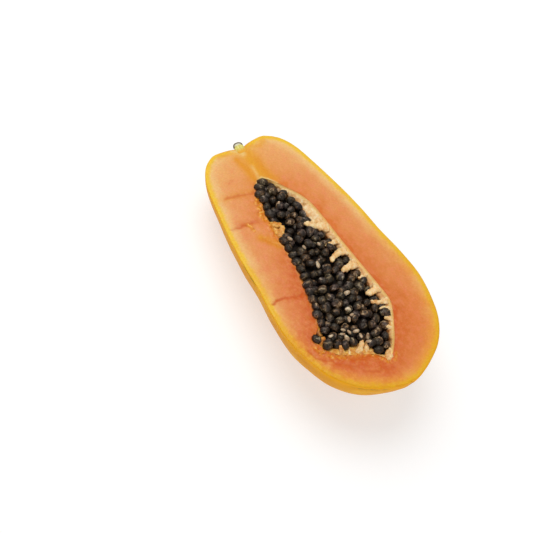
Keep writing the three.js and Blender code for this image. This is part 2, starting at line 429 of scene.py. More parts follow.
class Sketch:
    """A material whose nodes are added and wired one call at a time."""

    def __init__(self, name: str) -> None:
        """Starts a material with a bare principled shader.

        Args:
            name: The material's name.
        """
        self.material = bpy.data.materials.new(name)
        self.material.use_nodes = True
        self.tree = self.material.node_tree
        self.shader = self.tree.nodes["Principled BSDF"]

    def put(self, target: Socket, value: object) -> None:
        """Wires a socket or sets it.

        Args:
            target: The socket.
            value: Another socket, a colour code, or a plain value.
        """
        if isinstance(value, bpy.types.NodeSocket):
            self.tree.links.new(value, target)
        else:
            target.default_value = tint(value) if isinstance(value, str) else value

    def node(self, kind: str, inputs: dict[str | int, object], **settings: object) -> bpy.types.Node:
        """Adds a node.

        Args:
            kind: The node's type, without the leading "ShaderNode".
            inputs: Values or sockets for its inputs, by name or number.
            **settings: Its other settings.

        Returns:
            The node.
        """
        made = self.tree.nodes.new("ShaderNode" + kind)
        for name, value in settings.items():
            setattr(made, name, value)
        for key, value in inputs.items():
            self.put(made.inputs[key], value)
        return made

    def finish(self, **values: object) -> bpy.types.Material:
        """Sets the shader's sockets.

        Args:
            **values: Their values, by name, with _ for a space.

        Returns:
            The material.
        """
        for name, value in values.items():
            self.put(self.shader.inputs[name.replace("_", " ")], value)
        return self.material

    def place(self) -> Socket:
        """Gives the place in the fruit's frame, in millimetres, as kept on the mesh."""
        return self.node("Attribute", {}, attribute_name="fruit").outputs["Vector"]

    def number(self, name: str) -> Socket:
        """Gives a number kept on the mesh."""
        return self.node("Attribute", {}, attribute_name=name).outputs["Fac"]

    def stretch(self, vector: Socket, scale: Triple) -> Socket:
        """Stretches a vector along its axes."""
        return self.node("Mapping", {"Vector": vector, "Scale": scale}).outputs["Vector"]

    def cloud(self, vector: Socket, scale: float, detail: float = 3.0, rough: float = 0.55) -> Socket:
        """Adds a soft noise and gives its value."""
        inputs = {"Vector": vector, "Scale": scale, "Detail": detail, "Roughness": rough}
        return self.node("TexNoise", inputs).outputs["Fac"]

    def cells(self, vector: Socket, scale: float) -> Socket:
        """Adds a pattern of cells and gives the distance from their middles."""
        return self.node("TexVoronoi", {"Vector": vector, "Scale": scale}).outputs["Distance"]

    def level(self, value: Socket, low: float, high: float, start: float = 0, end: float = 1) -> Socket:
        """Eases a value from start at low to end at high."""
        inputs = {"Value": value, "From Min": low, "From Max": high, "To Min": start, "To Max": end}
        return self.node("MapRange", inputs, interpolation_type="SMOOTHSTEP").outputs["Result"]

    def patches(self, vector: Socket, patches: Patches) -> Socket:
        """Adds a soft noise and gives its eased value."""
        return self.level(self.cloud(vector, *patches[0]), *patches[1])

    def add(self, first: object, second: object) -> Socket:
        """Adds two numbers."""
        return self.node("Math", {0: first, 1: second}, operation="ADD").outputs[0]

    def times(self, first: object, second: object) -> Socket:
        """Multiplies two numbers."""
        return self.node("Math", {0: first, 1: second}, operation="MULTIPLY").outputs[0]

    def blend(self, factor: object, first: object, second: object) -> Socket:
        """Mixes two colours."""
        inputs = {"Factor": factor, 6: first, 7: second}
        return self.node("Mix", inputs, data_type="RGBA").outputs[2]

    def ramp(self, factor: Socket, stops: Stops) -> Socket:
        """Adds a colour ramp.

        Args:
            factor: What the ramp turns into a colour.
            stops: The places and colours of its stops.

        Returns:
            The colour.
        """
        made = self.node("ValToRGB", {"Fac": factor})
        line = made.color_ramp
        line.interpolation = "EASE"
        while len(line.elements) < len(stops):
            line.elements.new(1.0)
        for element, (place, colour) in zip(line.elements, stops):
            element.position = place
            element.color = tint(colour)
        return made.outputs["Color"]

    def bump(self, height: Socket, relief: Pair, under: Socket | None = None) -> Socket:
        """Adds a bump.

        Args:
            height: The bump's pattern.
            relief: Its height in metres, and its strength.
            under: An earlier bump that it lies on.

        Returns:
            The bumped normal.
        """
        inputs = {"Height": height, "Distance": relief[0], "Strength": relief[1]}
        if under is not None:
            inputs["Normal"] = under
        return self.node("Bump", inputs).outputs["Normal"]


# ---- Meshes ----


@dataclass(frozen=True)
class Grain:
    """Smooth lumps: how high they rise and how large they are, in millimetres."""

    height: float
    size: float
    layers: int = 2
    shift: float = 0.0  # moves the pattern, so that two of them differ
    softness: float = 1.0
    fineness: float = 2.0  # how much finer each layer is than the one before

    def at(self, points: Array) -> Array:
        """Gives the lumps' heights at points.

        Args:
            points: The places.

        Returns:
            The heights, up and down from nought.
        """
        offset = Vector((self.shift, 2 * self.shift, -self.shift))
        rest = (self.softness, self.fineness, self.layers)
        values = [noise.fractal(Vector(point) / self.size + offset, *rest) for point in points]
        return self.height * np.array(values)


def sum_of(grains: tuple[Grain, ...], points: Array) -> Array:
    """Gives the summed heights of some lumps at points."""
    return sum(grain.at(points) for grain in grains)


def points_of(bm: Mesh) -> Array:
    """Gives the places of all vertices."""
    return np.array([v.co for v in bm.verts])


def normals_of(bm: Mesh) -> Array:
    """Gives the normals of all vertices."""
    return np.array([v.normal for v in bm.verts])


def move_points(verts: Verts, points: Array) -> None:
    """Moves vertices.

    Args:
        verts: The vertices.
        points: Their new places.
    """
    for vert, point in zip(verts, points):
        vert.co = point


def swell(bm: Mesh, heights: Array) -> Array:
    """Gives the places of all vertices, moved out along their normals."""
    return points_of(bm) + normals_of(bm) * heights[:, None]


def add_grid(bm: Mesh, columns: int, rows: int, rule: Rule) -> Verts:
    """Adds a grid whose shares along both of its sides a rule turns into points.

    Args:
        bm: Mesh that the grid is added to.
        columns: Steps along the grid.
        rows: Steps across it.
        rule: Gives points for the shares along and across, from 0 to 1.

    Returns:
        The grid's vertices.
    """
    verts = bmesh.ops.create_grid(bm, x_segments=columns, y_segments=rows, size=0.5)["verts"]
    shares = np.array([v.co for v in verts]) + 0.5
    move_points(verts, rule(shares[:, 0], shares[:, 1]))
    return verts


def add_half_turn(bm: Mesh, profile: Array, steps: int) -> Verts:
    """Adds an outline spun half a turn about the axis, under the cut face.

    Args:
        bm: Mesh that the form is added to.
        profile: The outline's points, x and radius.
        steps: Steps of the half turn.

    Returns:
        The form's vertices.
    """
    before = set(bm.verts)
    verts = [bm.verts.new((x, r, 0)) for x, r in profile]
    edges = [bm.edges.new(pair) for pair in zip(verts[:-1], verts[1:])]
    bmesh.ops.spin(
        bm, geom=verts + edges, cent=(0, 0, 0), axis=(1, 0, 0), angle=-math.pi, steps=steps, use_merge=False
    )
    return [v for v in bm.verts if v not in before]


def add_seed(bm: Mesh, segments: int, rings: int, shape: Matrix) -> Verts:
    """Adds a ball 1 mm across that a matrix puts in shape and place.

    Args:
        bm: Mesh that the ball is added to.
        segments: Faces round it.
        rings: Faces from pole to pole.
        shape: The matrix.

    Returns:
        The ball's vertices.
    """
    made = bmesh.ops.create_uvsphere(bm, u_segments=segments, v_segments=rings, radius=0.5, matrix=shape)
    return made["verts"]


def weld(bm: Mesh, verts: Verts) -> None:
    """Joins those of some vertices that meet."""
    bmesh.ops.remove_doubles(bm, verts=verts, dist=WELD)


def face_outwards(bm: Mesh) -> None:
    """Turns all faces outwards."""
    bmesh.ops.recalc_face_normals(bm, faces=bm.faces)


def make_object(name: str, bm: Mesh) -> bpy.types.Object:
    """Makes an object of a finished mesh and puts it in the scene.

    Args:
        name: The object's name.
        bm: The mesh, which is freed.

    Returns:
        The object.
    """
    mesh = bpy.data.meshes.new(name)
    bm.to_mesh(mesh)
    bm.free()
    made = bpy.data.objects.new(name, mesh)
    bpy.context.scene.collection.objects.link(made)
    return made


def paint_faces(verts: Verts, index: int) -> None:
    """Gives the faces round some vertices a material.

    Args:
        verts: The vertices.
        index: The material's number.
    """
    for vert in verts:
        for face in vert.link_faces:
            face.material_index = index


@dataclass
class Piece:
    """A finished piece: a mesh in the part's frame that rides on the body."""

    name: str
    slot: str
    nodes: tuple[str, ...]

    def finish(
        self,
        bm: Mesh,
        place: Placement,
        materials: list[bpy.types.Material],
        numbers: dict[str, Array],
    ) -> bpy.types.Object:
        """Turns a mesh in the fruit's frame into a piece.

        Args:
            bm: The mesh, in the fruit's frame.
            place: How the half lies.
            materials: The piece's materials, by number.
            numbers: Numbers and vectors that the mesh keeps for each vertex, by name.

        Returns:
            The piece.
        """
        bm.transform(place.matrix())
        for vert in bm.verts:
            vert.co.z = max(vert.co.z, 0.0)
        face_outwards(bm)
        for face in bm.faces:
            face.smooth = True
        piece = make_object(self.name, bm)
        for name, values in numbers.items():
            kind, key = ("FLOAT", "value") if values.ndim == 1 else ("FLOAT_VECTOR", "vector")
            layer = piece.data.attributes.new(name, kind, "POINT")
            layer.data.foreach_set(key, values.astype(np.float32).ravel())
        for material in materials:
            piece.data.materials.append(material)
        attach(piece, "root")
        if self.nodes:
            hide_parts(*self.nodes)
        return piece


# ---- Finishes ----


@dataclass(frozen=True)
class SkinFinish:
    """Ripe papaya skin: waxy, golden orange, with pale, green and corky spots."""

    base: Stops = ((0.25, "CC7A08"), (0.5, "DE960E"), (0.75, "EBAE1E"))
    green: str = "8E8A1E"
    cork: str = "9A7A48"
    # dark olive line on the skin below the cut, partly a mark and partly painted shade
    dark_line_and_shade: str = "867018"
    near_cut: str = "F0A606"
    stretch: Triple = (0.45, 1.0, 1.0)
    clouds: Cloud = (0.045, 5.0, 0.6)
    cut_band: Fade = (0.0, 9.0, 1.0, 0.0)
    green_patches: Patches = ((0.03, 2.0), (0.6, 0.74))
    green_band: Fade = (8.0, 18.0, 0.0, 0.45)
    speck_scale: float = 0.22
    speck_edge: Fade = (0.05, 0.12, 0.6, 0.0)
    speck_groups: Patches = ((0.06,), (0.5, 0.6))
    ragged: Patches = ((0.3, 4.0, 0.7), (0.38, 0.6, 0.25, 1.0))
    swell: Cloud = (0.12,)
    swell_relief: Pair = (0.0012, 0.35)
    pores: Cloud = (1.6, 4.0)
    pore_relief: Pair = (0.00012, 0.5)
    roughness: Fade = (0.3, 0.7, 0.42, 0.58)
    shine: float = 0.06

    def make(self) -> bpy.types.Material:
        """Builds the material.

        Returns:
            The material.
        """
        s = Sketch("papaya_skin")
        place = s.place()
        long = s.stretch(place, self.stretch)
        base = s.ramp(s.cloud(long, *self.clouds), self.base)
        depth = s.number("below_cut")
        base = s.blend(s.level(depth, *self.cut_band), base, self.near_cut)
        green = s.times(s.patches(long, self.green_patches), s.level(depth, *self.green_band))
        base = s.blend(green, base, self.green)
        specks = s.level(s.cells(place, self.speck_scale), *self.speck_edge)
        base = s.blend(s.times(specks, s.patches(place, self.speck_groups)), base, self.green)
        base = s.blend(s.times(s.number("dark_line_and_shade"), s.patches(place, self.ragged)), base, self.dark_line_and_shade)
        base = s.blend(s.number("cork"), base, self.cork)
        pores = s.cloud(place, *self.pores)
        low = s.bump(s.cloud(place, *self.swell), self.swell_relief)
        return s.finish(
            Base_Color=base,
            Roughness=s.level(pores, *self.roughness),
            Normal=s.bump(pores, self.pore_relief, low),
            Specular_IOR_Level=self.shine,
        )


@dataclass(frozen=True)
class FleshFinish:
    """Cut papaya flesh: wet, paler under the skin, deeper towards the seed hollow."""

    pale: Stops = ((0.0, "DC7826"), (0.1, "DF8840"), (0.5, "E59A58"), (0.8, "E8AA66"), (1.0, "ECB874"))
    deep: Stops = ((0.0, "CC5C10"), (0.1, "D16E24"), (0.5, "DE803A"), (0.8, "E28E40"), (1.0, "E69C3E"))
    rind: str = "F0C42C"
    ripe_rind: str = "E8B016"
    under_rind: str = "F0C882"
    ripe_under: str = "ECA232"
    blush: str = "E9865C"
    stem: str = "F0BA6C"
    # the painted shade in cracks and folds; the darker fibres use the same colour
    fibre_and_crease_shade: str = "C8560A"
    # the colour of bruises near the rim and of the painted shade beside cracks
    bruise_and_crack_shade: str = "CE560A"
    glow: str = "E6A01C"
    # darker orange of the vascular lines, partly their colour and partly painted shade in their grooves
    vein_and_groove_shade: str = "E2940A"
    # pale cream of the strips; along the left rim partly a painted highlight
    pale_strip_and_highlight: str = "F2D488"
    torn: Stops = ((0.3, "BE5C10"), (0.48, "DE8A1C"), (0.6, "EDAA3A"), (0.75, "F6D694"))
    mottle: Patches = ((0.11, 4.0, 0.6), (0.25, 0.75, -0.12, 0.12))
    ripe_patches: Patches = ((0.05,), (0.3, 0.7, -0.2, 0.2))
    edge_patches: Patches = ((0.2,), (0.3, 0.7, -0.6, 0.6))
    blush_patches: Patches = ((0.22, 5.0, 0.7), (0.42, 0.68, 0.0, 0.5))
    stem_weight: float = 0.32
    under_band: Fade = (2.4, 11.0, 0.9, 0.0)
    rind_band: Fade = (1.6, 5.2, 1.0, 0.0)
    bruise_and_shade_patches: Patches = ((0.24, 4.0, 0.7), (0.38, 0.6, 0.2, 1.0))
    shreds: Cloud = (0.45, 3.0, 0.6)
    fibre_stretch: Triple = (1.0, 0.4, 1.0)
    fibres: Cloud = (1.1, 5.0, 0.65)
    fibre_shade: Fade = (0.34, 0.66, 0.0, 0.19)
    fibre_relief: Pair = (0.00025, 0.5)
    soft: Cloud = (0.35,)
    soft_relief: Pair = (0.0006, 0.5)
    roughness: Fade = (0.3, 0.7, 0.28, 0.5)
    shine: float = 0.25
    depth: float = 0.15
    depth_colours: Triple = (1.0, 0.4, 0.15)
    depth_reach: float = 0.002

    def make(self) -> bpy.types.Material:
        """Builds the material.

        Returns:
            The material.
        """
        s = Sketch("papaya_flesh")
        place = s.place()
        share = s.add(s.number("depth_share"), s.patches(place, self.mottle))
        ripe = s.add(s.number("ripe"), s.patches(place, self.ripe_patches))
        base = s.blend(ripe, s.ramp(share, self.pale), s.ramp(share, self.deep))
        base = s.blend(s.patches(place, self.blush_patches), base, self.blush)
        base = s.blend(s.times(s.number("stem"), self.stem_weight), base, self.stem)
        edge = s.add(s.number("skin_mm"), s.patches(place, self.edge_patches))
        under = s.blend(ripe, self.under_rind, self.ripe_under)
        base = s.blend(s.level(edge, *self.under_band), base, under)
        rind = s.blend(ripe, self.rind, self.ripe_rind)
        base = s.blend(s.level(edge, *self.rind_band), base, rind)
        marks = {"glow": self.glow, "vein_and_groove_shade": self.vein_and_groove_shade, "pale_strip_and_highlight": self.pale_strip_and_highlight, "fibre_and_crease_shade": self.fibre_and_crease_shade}
        for name, colour in marks.items():
            base = s.blend(s.number(name), base, colour)
        # Bruises near the rim, with soft painted shade beside the cracks.
        bruise_and_crack_shade = s.times(s.number("bruise_and_crack_shade"), s.patches(place, self.bruise_and_shade_patches))
        base = s.blend(bruise_and_crack_shade, base, self.bruise_and_crack_shade)
        base = s.blend(s.number("torn"), base, s.ramp(s.cloud(place, *self.shreds), self.torn))
        fibres = s.cloud(s.stretch(place, self.fibre_stretch), *self.fibres)
        base = s.blend(s.level(fibres, *self.fibre_shade), base, self.fibre_and_crease_shade)
        soft = s.bump(s.cloud(place, *self.soft), self.soft_relief)
        return s.finish(
            Base_Color=base,
            Roughness=s.level(fibres, *self.roughness),
            Normal=s.bump(fibres, self.fibre_relief, soft),
            Specular_IOR_Level=self.shine,
            Subsurface_Weight=self.depth,
            Subsurface_Radius=self.depth_colours,
            Subsurface_Scale=self.depth_reach,
        )


@dataclass(frozen=True)
class LiningFinish:
    """The soft pale tissue that lines the seed hollow: painted shade darkens it towards the seeds, and
    where seeds touch it, it is brown with stain and painted shade.
    """

    name: str = "papaya_lining"
    base: Stops = ((0.3, "E0AA64"), (0.46, "F0C484"), (0.64, "F8DAA6"))
    lip: str = "F8CC7C"
    rim: str = "F0A040"
    # the colour of the painted shade towards the seeds, also taken by the darker fibres
    shade: str = "D08840"
    # the brown at the seeds' edge: partly stain, partly painted shade
    stain: str = "8A4A1C"
    flesh: Stops = ((0.35, "C4701A"), (0.5, "DC9634"), (0.62, "ECB458"), (0.75, "F4D090"))
    clouds: Cloud = (0.3, 4.0, 0.6)
    shade_uneven: Fade = (0.3, 0.7, -1.6, 1.6)
    shade_band: Fade = (0.5, 4.5, 0.55, 0.0)
    lip_band: Fade = (0.8, 2.4, 0.8, 0.0)
    rim_band: Fade = (0.25, 1.0, 0.6, 0.0)
    stain_and_shade_uneven: Fade = (0.3, 0.7, -0.9, 0.9)
    stain_and_shade_band: Fade = (-0.6, 1.0, 0.9, 0.0)
    fibre_stretch: Triple = (1.0, 0.35, 0.35)
    fibres: Cloud = (1.0, 4.0, 0.6)
    fibre_shade: Fade = (0.52, 0.72, 0.0, 0.25)
    fibre_relief: Pair = (0.0008, 0.6)
    roughness: Fade = (0.3, 0.7, 0.35, 0.6)
    depth: float = 0.25
    depth_colours: Triple = (1.0, 0.6, 0.3)
    depth_reach: float = 0.002

    def make(self) -> bpy.types.Material:
        """Builds the material.

        Returns:
            The material.
        """
        s = Sketch(self.name)
        place = s.place()
        clear, rim = s.number("clear_of_shade_mm"), s.number("rim_mm")
        clouds = s.cloud(place, *self.clouds)
        base = s.ramp(clouds, self.base)
        # Painted shade: darker towards the seeds, where the bank slopes down into their shade.
        shade = s.add(clear, s.level(clouds, *self.shade_uneven))
        base = s.blend(s.level(shade, *self.shade_band), base, self.shade)
        base = s.blend(s.level(rim, *self.lip_band), base, self.lip)
        base = s.blend(s.level(rim, *self.rim_band), base, self.rim)
        base = s.blend(s.number("left"), base, s.ramp(clouds, self.flesh))
        # Brown at and inside the seeds' edge: partly stain, partly painted shade.
        stain = s.add(clear, s.level(clouds, *self.stain_and_shade_uneven))
        base = s.blend(s.level(stain, *self.stain_and_shade_band), base, self.stain)
        fibres = s.cloud(s.stretch(place, self.fibre_stretch), *self.fibres)
        base = s.blend(s.level(fibres, *self.fibre_shade), base, self.shade)
        return s.finish(
            Base_Color=base,
            Roughness=s.level(fibres, *self.roughness),
            Normal=s.bump(fibres, self.fibre_relief),
            Subsurface_Weight=self.depth,
            Subsurface_Radius=self.depth_colours,
            Subsurface_Scale=self.depth_reach,
        )


@dataclass(frozen=True)
class SeedFinish:
    """Papaya seeds: wrinkled and near black, in a thin skin that is paler round their edges, partly its own
    colour and partly a painted sheen.
    """

    dark: Stops = ((0.0, "0C0603"), (0.3, "26170B"), (0.55, "523822"), (0.8, "866848"), (1.0, "B49A78"))
    olive: Stops = ((0.0, "0B0804"), (0.3, "21190D"), (0.55, "483824"), (0.8, "78684C"), (1.0, "A89C80"))
    violet: Stops = ((0.0, "0A070B"), (0.3, "20191F"), (0.55, "443B41"), (0.8, "746869"), (1.0, "A49A98"))
    olive_patches: Patches = ((0.09, 1.0), (0.45, 0.55))
    violet_patches: Patches = ((0.14, 1.0), (0.52, 0.6, 0.0, 0.5))
    ring_inside: Fade = (0.56, 0.74)
    ring_outside: Fade = (0.8, 0.95, 1.0, 0.15)
    ring_patches: Patches = ((0.3, 1.0), (0.36, 0.62, 0.08, 0.56))
    wrinkles: Cloud = (0.55,)
    wrinkle_shade: Fade = (0.4, 0.75, 0.1, 0.3)
    wrinkle_relief: Pair = (0.0012, 0.65)
    roughness: Fade = (0.3, 0.7, 0.3, 0.48)
    shine: float = 0.5
    sheen_tint: Colour = (1.0, 0.86, 0.7, 1.0)

    def make(self) -> bpy.types.Material:
        """Builds the material.

        Returns:
            The material.
        """
        s = Sketch("papaya_seed")
        place = s.place()
        wrinkles = s.cloud(place, *self.wrinkles)
        edge = s.number("edge")
        # A paler ring just inside each seed's edge: partly the clear skin, partly painted sheen.
        pale_edge_and_sheen = s.times(s.level(edge, *self.ring_inside), s.level(edge, *self.ring_outside))
        pale_edge_and_sheen = s.times(pale_edge_and_sheen, s.patches(place, self.ring_patches))
        shade = s.add(s.level(wrinkles, *self.wrinkle_shade), s.number("tone"))
        shade = s.add(shade, pale_edge_and_sheen)
        olive = s.patches(place, self.olive_patches)
        base = s.blend(olive, s.ramp(shade, self.dark), s.ramp(shade, self.olive))
        base = s.blend(s.patches(place, self.violet_patches), base, s.ramp(shade, self.violet))
        return s.finish(
            Base_Color=base,
            Roughness=s.level(wrinkles, *self.roughness),
            Normal=s.bump(wrinkles, self.wrinkle_relief),
            Specular_IOR_Level=self.shine,
            Specular_Tint=self.sheen_tint,
        )


@dataclass(frozen=True)
class CoreShadeFinish:
    """The dark, wet space under the seeds: the deeper seeds, painted near black as the shade among them."""

    colours: Stops = ((0.3, "070402"), (0.7, "1E140C"))
    lumps: Cloud = (0.35,)
    relief: Pair = (0.001, 0.6)
    roughness: float = 0.7
    shine: float = 0.15

    def make(self) -> bpy.types.Material:
        """Builds the material.

        Returns:
            The material.
        """
        s = Sketch("papaya_heap_core_shade")
        lumps = s.cloud(s.place(), *self.lumps)
        return s.finish(
            Base_Color=s.ramp(lumps, self.colours),
            Roughness=self.roughness,
            Specular_IOR_Level=self.shine,
            Normal=s.bump(lumps, self.relief),
        )


@dataclass(frozen=True)
class StubFinish:
    """The stem's stub: green-yellow inside and pale at its end, with a dry grey-brown rim."""

    pale: Stops = ((0.3, "B8AA44"), (0.5, "DED068"), (0.7, "F2E8A2"))
    cork: Stops = ((0.3, "5E5440"), (0.7, "8E836A"))
    flesh: str = "E8A428"
    end: str = "D9D8CC"
    stretch: Triple = (0.4, 1.0, 1.0)
    fibres: Cloud = (0.7, 4.0)
    dry_uneven: Fade = (0.3, 0.7, -0.25, 0.25)
    dry_edge: Fade = (0.2, 0.8)
    relief: Pair = (0.0004, 0.7)
    roughness: float = 0.75

    def make(self) -> bpy.types.Material:
        """Builds the material.

        Returns:
            The material.
        """
        s = Sketch("papaya_stem")
        fibres = s.cloud(s.stretch(s.place(), self.stretch), *self.fibres)
        base = s.blend(s.number("inner"), s.ramp(fibres, self.pale), self.flesh)
        base = s.blend(s.number("end"), base, self.end)
        dry = s.add(s.number("dry"), s.level(fibres, *self.dry_uneven))
        base = s.blend(s.level(dry, *self.dry_edge), base, s.ramp(fibres, self.cork))
        return s.finish(Base_Color=base, Roughness=self.roughness, Normal=s.bump(fibres, self.relief))


# ---- The flesh and its skin ----


class Side(Enum):
    """The two sides of the cut face."""

    LEFT = -1
    RIGHT = 1


@dataclass(frozen=True)
class Stroke:
    """A mark drawn along a line over the cut face, fading with distance."""

    points: Points
    reach: float
    strength: float = 1.0

    def weight(self, places: Array) -> Array:
        """Gives the mark's weight at points of the cut face."""
        gap = distance_to_line(places, np.array(self.points)) / self.reach
        return self.strength * np.exp(-(gap**2))


def heaviest(strokes: tuple[Stroke, ...], places: Array) -> Array:
    """Gives the greatest weight of some strokes at points of the cut face."""
    return np.max([stroke.weight(places) for stroke in strokes], axis=0)


@dataclass(frozen=True)
class Streak:
    """A stroke on the skin, at some depth below the cut: a dark line, partly the skin's own mark and partly
    painted shade.
    """

    stroke: Stroke
    depth: float
    width: float = 1.1

    def weight(self, points: Array) -> Array:
        """Gives the streak's weight at points in space."""
        off = (points[:, 2] + self.depth) / self.width
        return self.stroke.weight(points[:, :2]) * np.exp(-(off**2))


@dataclass(frozen=True)
class Stain:
    """A stain that spreads from the rim of the hollow and grows along the fruit."""

    strength: float
    reach: float
    growth: Pair
    side: Side | None = None
    side_blend: Pair = (0.0, 12.0)

    def weight(self, points: Array, gaps: Array) -> Array:
        """Gives the stain's weights.

        Args:
            points: The places.
            gaps: Their distances from the rim.

        Returns:
            The weights.
        """
        weight = np.exp(-gaps / self.reach) * smoothstep(points[:, 0], *self.growth)
        if self.side is not None:
            weight = weight * smoothstep(self.side.value * points[:, 1], *self.side_blend)
        return self.strength * weight


@dataclass(frozen=True)
class TornEdge:
    """The torn left rim of the hollow: strong, then weaker, then stronger again towards its end."""

    depth: float = 1.9
    side: Pair = (4.0, 8.0)
    start: Pair = (42.0, 48.0)
    easing: Pair = (76.0, 90.0)
    eased: float = 0.4
    again: Pair = (146.0, 158.0)
    end_strength: float = 0.6

    def weight(self, points: Array, rim: Array) -> Array:
        """Gives how strongly the rim is torn, which fades away from it.

        Args:
            points: The places.
            rim: Their distances from the rim in the cut face.

        Returns:
            The weights.
        """
        x = points[:, 0]
        along = between((1.0, self.eased), smoothstep(x, *self.easing)) * smoothstep(x, *self.start)
        along = np.maximum(along, self.end_strength * smoothstep(x, *self.again))
        left = smoothstep(-points[:, 1], *self.side)
        return left * along * np.exp(-np.hypot(rim, points[:, 2]) / self.depth)


@dataclass(frozen=True)
class Survey:
    """What is known of the shell's vertices before it is dressed."""

    points: Array
    on_cut: Array
    in_hollow: Array
    skin: Array  # how far the skin is
    rim: Array  # how far the hollow's rim is, seen from above
    hollow: Array  # the same on the cut face, and nought elsewhere


@dataclass(frozen=True)
class Marks:
    """The weights of the marks at the shell's vertices."""

    crack: Array
    fold: Array
    vein_and_groove_shade: Array
    torn: Array
    clumps: Array
    tears: Array
    scar_gap: Array


